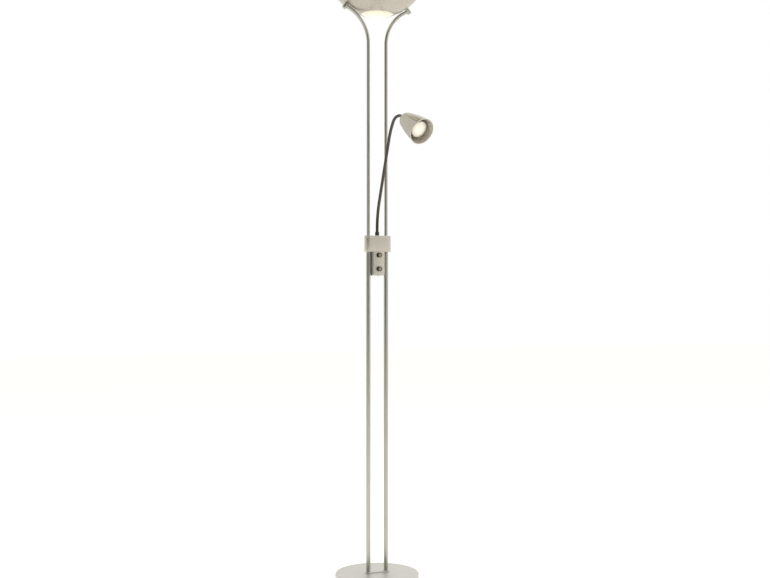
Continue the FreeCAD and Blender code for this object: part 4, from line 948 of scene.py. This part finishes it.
opening_height = sphere_height - math.sqrt(BOWL_RADIUS ** 2 - OPENING_RADIUS ** 2)
lip_top = opening_height + BOWL_WALL
inner_opening = math.sqrt(inner ** 2 - (sphere_height - lip_top) ** 2)
inner_rim = RIM_RADIUS - BOWL_WALL
bead_top = (RIM_RADIUS - BOWL_WALL / 2, bowl_high.z)
bead = arc((RIM_RADIUS, rim_height), bead_top, BEAD_RADIUS, 1, 5)
bead += arc(bead_top, (inner_rim, rim_height), BEAD_RADIUS, 1, 5)[1:]
bowl = spun([(LIP_RADIUS, opening_height)]
            + arc((OPENING_RADIUS, opening_height), (RIM_RADIUS, rim_height), BOWL_RADIUS, 1, 40)
            + bead[1:]
            + arc((inner_rim, rim_height), (inner_opening, lip_top), inner, -1, 40)[1:]
            + [(LIP_RADIUS, lip_top)], closed=True, steps=160)
bowl_piece = place_piece("bowl_spun", bowl, bowl_enamel, ["bowl_shell"])
coat_some(bowl_piece, white_enamel, inside_bowl)

# ---------------------------------------------------------------- opal glass
# A shallow dish of white opal glass closes the bowl's bottom opening, hung by its flange on the
# turned-in lip under a steel ring. Its glow is painted light: emission that stands in for the uplight
# lamp's light through it.

GLASS_SAG = 8.0
GLASS_FLANGE = 2.0
GLASS_THICKNESS = 2.0
GLASS_FIT = 0.2
GLASS_EDGE_CUT = 1.0
GLASS_EDGE_DROP = 0.3
OPAL_CLOUD = 18.0

# Flashed opal glass hides the lamp and is glossy. Its glow is painted light, brightest over the lamp
# and dimmer towards its rim.
opal, shader = new_material("flashed_opal_glass", {
    "Base Color": linear("8f8d82"), "IOR": 1.5, "Roughness": 0.12,
    "Emission Color": linear("fffad8")})
place = add_node(opal, "ShaderNodeTexCoord", {})
flat = add_node(opal, "ShaderNodeMapping", {"Scale": (1, 1, 0)}, {"Vector": (place, "Object")})
reach = add_node(opal, "ShaderNodeVectorMath", {"operation": "LENGTH"}, {0: (flat, "Vector")})
glow = add_node(opal, "ShaderNodeMapRange", {
    "From Min": 0, "From Max": LIP_RADIUS * MM, "To Min": 0.86, "To Max": 0.56},
    {"Value": (reach, "Value")})
cloudy = add_node(opal, "ShaderNodeMapRange", {"To Min": 0.96, "To Max": 1.04},
                  {"Value": (spots(opal, OPAL_CLOUD, 2), "Fac")})
add_node(opal, "ShaderNodeMath", {"operation": "MULTIPLY"},
         {0: (glow, "Result"), 1: (cloudy, "Result")}, {"Value": [(shader, "Emission Strength")]})

glass_edge = LIP_RADIUS - GLASS_FIT
glass_low = opening_height - GLASS_SAG
glass_rise = lip_top - glass_low
glass_curve = (glass_edge ** 2 + glass_rise ** 2) / (2 * glass_rise)
flange_radius = inner_opening - GLASS_FIT
flange_top = lip_top + GLASS_FLANGE
dish = spun(arc((0, glass_low), (glass_edge, lip_top), glass_curve, 1, 18)
            + rounded([(glass_edge, lip_top), (flange_radius, lip_top, 0.4),
                       (flange_radius, flange_top, 0.4), (glass_edge, flange_top, 0.6),
                       (0, glass_low)])[1:-1]
            + arc((glass_edge - GLASS_EDGE_CUT, flange_top - GLASS_EDGE_DROP),
                  (0, glass_low + GLASS_THICKNESS), glass_curve, -1, 18), steps=128)
place_piece("opal_dish", dish, opal, ["bottom_glass"])

# ---------------------------------------------------------------- uplight lamp and its holders
# A linear lamp in clear quartz lies across the bowl between two ceramic holders on the bracket.
# Its coiled filament runs along the tube's middle, and the ends are pinched flat.

FILAMENT_RADIUS = 0.9
FILAMENT_PITCH = 1.6
FILAMENT_HALF = 36.0
WIRE_RADIUS = 0.22
COIL_STEPS = 12
PINCH_LENGTH = 11.0
CAP_SIZE = (PINCH_LENGTH + 2, 7, 3.2)
CAP_ROUNDING = 0.6
SOCKET_FACE = 55.0
SOCKET_HOLE = 8.0
SOCKET_FIT = 0.1
SOCKET_ROUNDING = 0.8

# Clear fused quartz: water-white, smooth, with the filament's light caught in its wall.
quartz, shader = new_material("clear_fused_quartz", {
    "Base Color": linear("fffdf6"), "IOR": 1.46, "Transmission Weight": 0.85,
    "Emission Color": linear("ffe9c4")})
vary(quartz, shader, spots(quartz, PINCH_LENGTH, 1), gloss=(0.02, 0.08), glow=(1.5, 2.5))

# Tungsten wire at white heat, a little uneven along the coil.
tungsten, shader = new_material("glowing_tungsten", {
    "Base Color": linear("e8d8b8"), "Metallic": 1.0, "Roughness": 0.4,
    "Emission Color": linear("ffd79a")})
vary(tungsten, shader, spots(tungsten, FILAMENT_PITCH * 4, 1), glow=(12, 20))

low, high = cad_box("uplight_lamp")
tube_radius = (high.y - low.y) / 2
lamp_height = (low.z + high.z) / 2
tube_half = high.x
body_half = tube_half - PINCH_LENGTH
across_bowl = aimed((0, 0, lamp_height), (1, 0, 0))
envelope = spun(rounded([
    (0, -body_half), (tube_radius - 0.5, -body_half, 2.0), (tube_radius, -body_half + 4, 3.0),
    (tube_radius, body_half - 4, 3.0), (tube_radius - 0.5, body_half, 2.0), (0, body_half)]),
    steps=40)
bmesh.ops.transform(envelope, matrix=across_bowl, verts=envelope.verts)
place_piece("quartz_envelope", envelope, quartz, ["uplight_lamp"])

ends = bmesh.new()
for sign in (-1, 1):
    block(ends, (sign * (body_half + tube_half) / 2, 0, lamp_height), CAP_SIZE)
soften(ends, ends.edges[:], CAP_ROUNDING, 3)
place_piece("lamp_end_caps", ends, steatite)

coil = bmesh.new()
turns = round(2 * FILAMENT_HALF / FILAMENT_PITCH)
bmesh.ops.create_circle(coil, segments=6, radius=WIRE_RADIUS,
                        matrix=aimed((FILAMENT_RADIUS, 0, -FILAMENT_HALF), (0, 1, 0)))
bmesh.ops.spin(coil, geom=coil.verts[:] + coil.edges[:], cent=(0, 0, 0), axis=UP,
               dvec=(0, 0, FILAMENT_PITCH / COIL_STEPS), angle=math.tau * turns,
               steps=COIL_STEPS * turns)
bmesh.ops.holes_fill(coil, edges=coil.edges, sides=0)
bmesh.ops.recalc_face_normals(coil, faces=coil.faces)
bmesh.ops.transform(coil, matrix=across_bowl, verts=coil.verts)
place_piece("filament_coil", coil, tungsten)

low, high = cad_box("lamp_holders")
holders = bmesh.new()
hollows = bmesh.new()
for sign in (-1, 1):
    block(holders, ((high.x + SOCKET_FACE) / 2 * sign, 0, (low.z + high.z) / 2),
          (high.x - SOCKET_FACE, high.y - low.y, high.z - low.z))
    drill(hollows, tube_radius + SOCKET_FIT, SOCKET_HOLE, (SOCKET_FACE * sign, 0, lamp_height),
          (1, 0, 0))
soften(holders, holders.edges[:], SOCKET_ROUNDING, 3)
place_piece("lamp_holders_fired", carved(holders, hollows), steatite, ["lamp_holders"])

# ---------------------------------------------------------------- guard glass
# A pane of clear float glass lies on the holders over the lamp, held by two steel clips. It keeps
# fingers and dust off the hot lamp. Its edges are ground and seamed.

PANE_SEAM = 0.5
DUST = 6.0

# Clear soda-lime glass with a faint green edge and a few soft smears.
clear_glass, shader = new_material("clear_float_glass", {
    "Base Color": linear("eef7f2"), "IOR": 1.52, "Transmission Weight": 1.0})
vary(clear_glass, shader, spots(clear_glass, DUST, 3), gloss=(0.0, 0.09))

low, high = cad_box("guard_glass")
pane = bmesh.new()
block(pane, (low + high) / 2, high - low)
soften(pane, pane.edges[:], PANE_SEAM, 2)
place_piece("guard_pane", pane, clear_glass, ["guard_glass"])

# ---------------------------------------------------------------- leads
# Round leads in white silicone run inside the lamp: from the base up the left pole to the box,
# from the box up the right pole to the bowl, and up to the reading lamp through the gooseneck.

SILICONE_BLOOM = 3.0

# Extruded silicone rubber is milky, matt and slightly translucent.
silicone, shader = new_material("white_silicone_rubber", {"IOR": 1.43, "Subsurface Weight": 0.1})
vary(silicone, shader, spots(silicone, SILICONE_BLOOM, 3), tint=("dcdad4", "eae8e3"),
     gloss=(0.5, 0.65))
coat(silicone, "mains_lead", "uplight_lead", "reading_lead")

# ---------------------------------------------------------------- studio
# A pale floor, a white surround and one soft light overhead. The surround is darker behind the
# camera, to its left and up, so polished tubes show a dark middle between bright edges.

FLOOR_HALF = 12.0
VIEW_TURN = math.radians(21.5)
CAMERA_DISTANCE = 3.477
CAMERA_HEIGHT = 0.871
CAMERA_ASIDE = 0.0235
FOCAL_LENGTH = 54.37
SENSOR_WIDTH = 36.0
PAPER_GRAIN = 30.0
DARK_TURN = math.radians(15)
DARK_RISE = math.radians(18)
SOFTBOX_SIZE = 3.0
SOFTBOX_POWER = 60.0
SOFTBOX_PLACE = (0.5, -0.6, 4.0)

# Matt studio paper: nearly white, with a trace of unevenness.
paper, shader = new_material("matt_studio_paper", {
    "Roughness": 0.9, "Emission Color": linear("ffffff"), "Emission Strength": 0.25})
vary(paper, shader, spots(paper, PAPER_GRAIN, 2), tint=("f4f3f1", "f7f6f5"))

ground = bmesh.new()
bmesh.ops.create_grid(ground, x_segments=1, y_segments=1, size=FLOOR_HALF)
floor = in_scene("studio_floor", mesh_of("studio_floor", ground))
floor.data.materials.append(paper)

camera_view = Vector((math.sin(VIEW_TURN), math.cos(VIEW_TURN), 0))
camera_right = Vector((math.cos(VIEW_TURN), -math.sin(VIEW_TURN), 0))

studio = bpy.data.worlds.new("studio")
studio.use_nodes = True
studio.node_tree.nodes.clear()
heading = add_node(studio, "ShaderNodeTexCoord", {})
behind = -camera_view * math.cos(DARK_TURN) - camera_right * math.sin(DARK_TURN)
dark_side = behind * math.cos(DARK_RISE) + UP * math.sin(DARK_RISE)
facing = add_node(studio, "ShaderNodeVectorMath", {"operation": "DOT_PRODUCT", 1: dark_side},
                  {0: (heading, "Generated")})
strength = add_node(studio, "ShaderNodeMapRange", {
    "interpolation_type": "SMOOTHSTEP", "From Min": 0.4, "From Max": 0.95, "To Min": 1.0,
    "To Max": 0.18}, {"Value": (facing, "Value")})
lighting = add_node(studio, "ShaderNodeBackground", {"Color": linear("fffdf8")},
                    {"Strength": (strength, "Result")})
backdrop = add_node(studio, "ShaderNodeBackground", {"Color": linear("ffffff"), "Strength": 1.0})
ray = add_node(studio, "ShaderNodeLightPath", {})
seen = add_node(studio, "ShaderNodeMixShader", {}, {
    0: (ray, "Is Camera Ray"), 1: (lighting, "Background"), 2: (backdrop, "Background")})
add_node(studio, "ShaderNodeOutputWorld", {}, {"Surface": (seen, "Shader")})
bpy.context.scene.world = studio

overhead = bpy.data.lights.new("overhead_softbox", "AREA")
overhead.shape = "SQUARE"
overhead.size = SOFTBOX_SIZE
overhead.energy = SOFTBOX_POWER
in_scene("overhead_softbox", overhead).location = SOFTBOX_PLACE

camera = bpy.data.cameras.new("studio_camera")
camera.lens = FOCAL_LENGTH
camera.sensor_width = SENSOR_WIDTH
stand = in_scene("studio_camera", camera)
stand.location = -camera_view * CAMERA_DISTANCE + camera_right * CAMERA_ASIDE + UP * CAMERA_HEIGHT
stand.rotation_euler = camera_view.to_track_quat("-Z", "Y").to_euler()
bpy.context.scene.camera = stand
bpy.context.scene.view_settings.view_transform = "Standard"
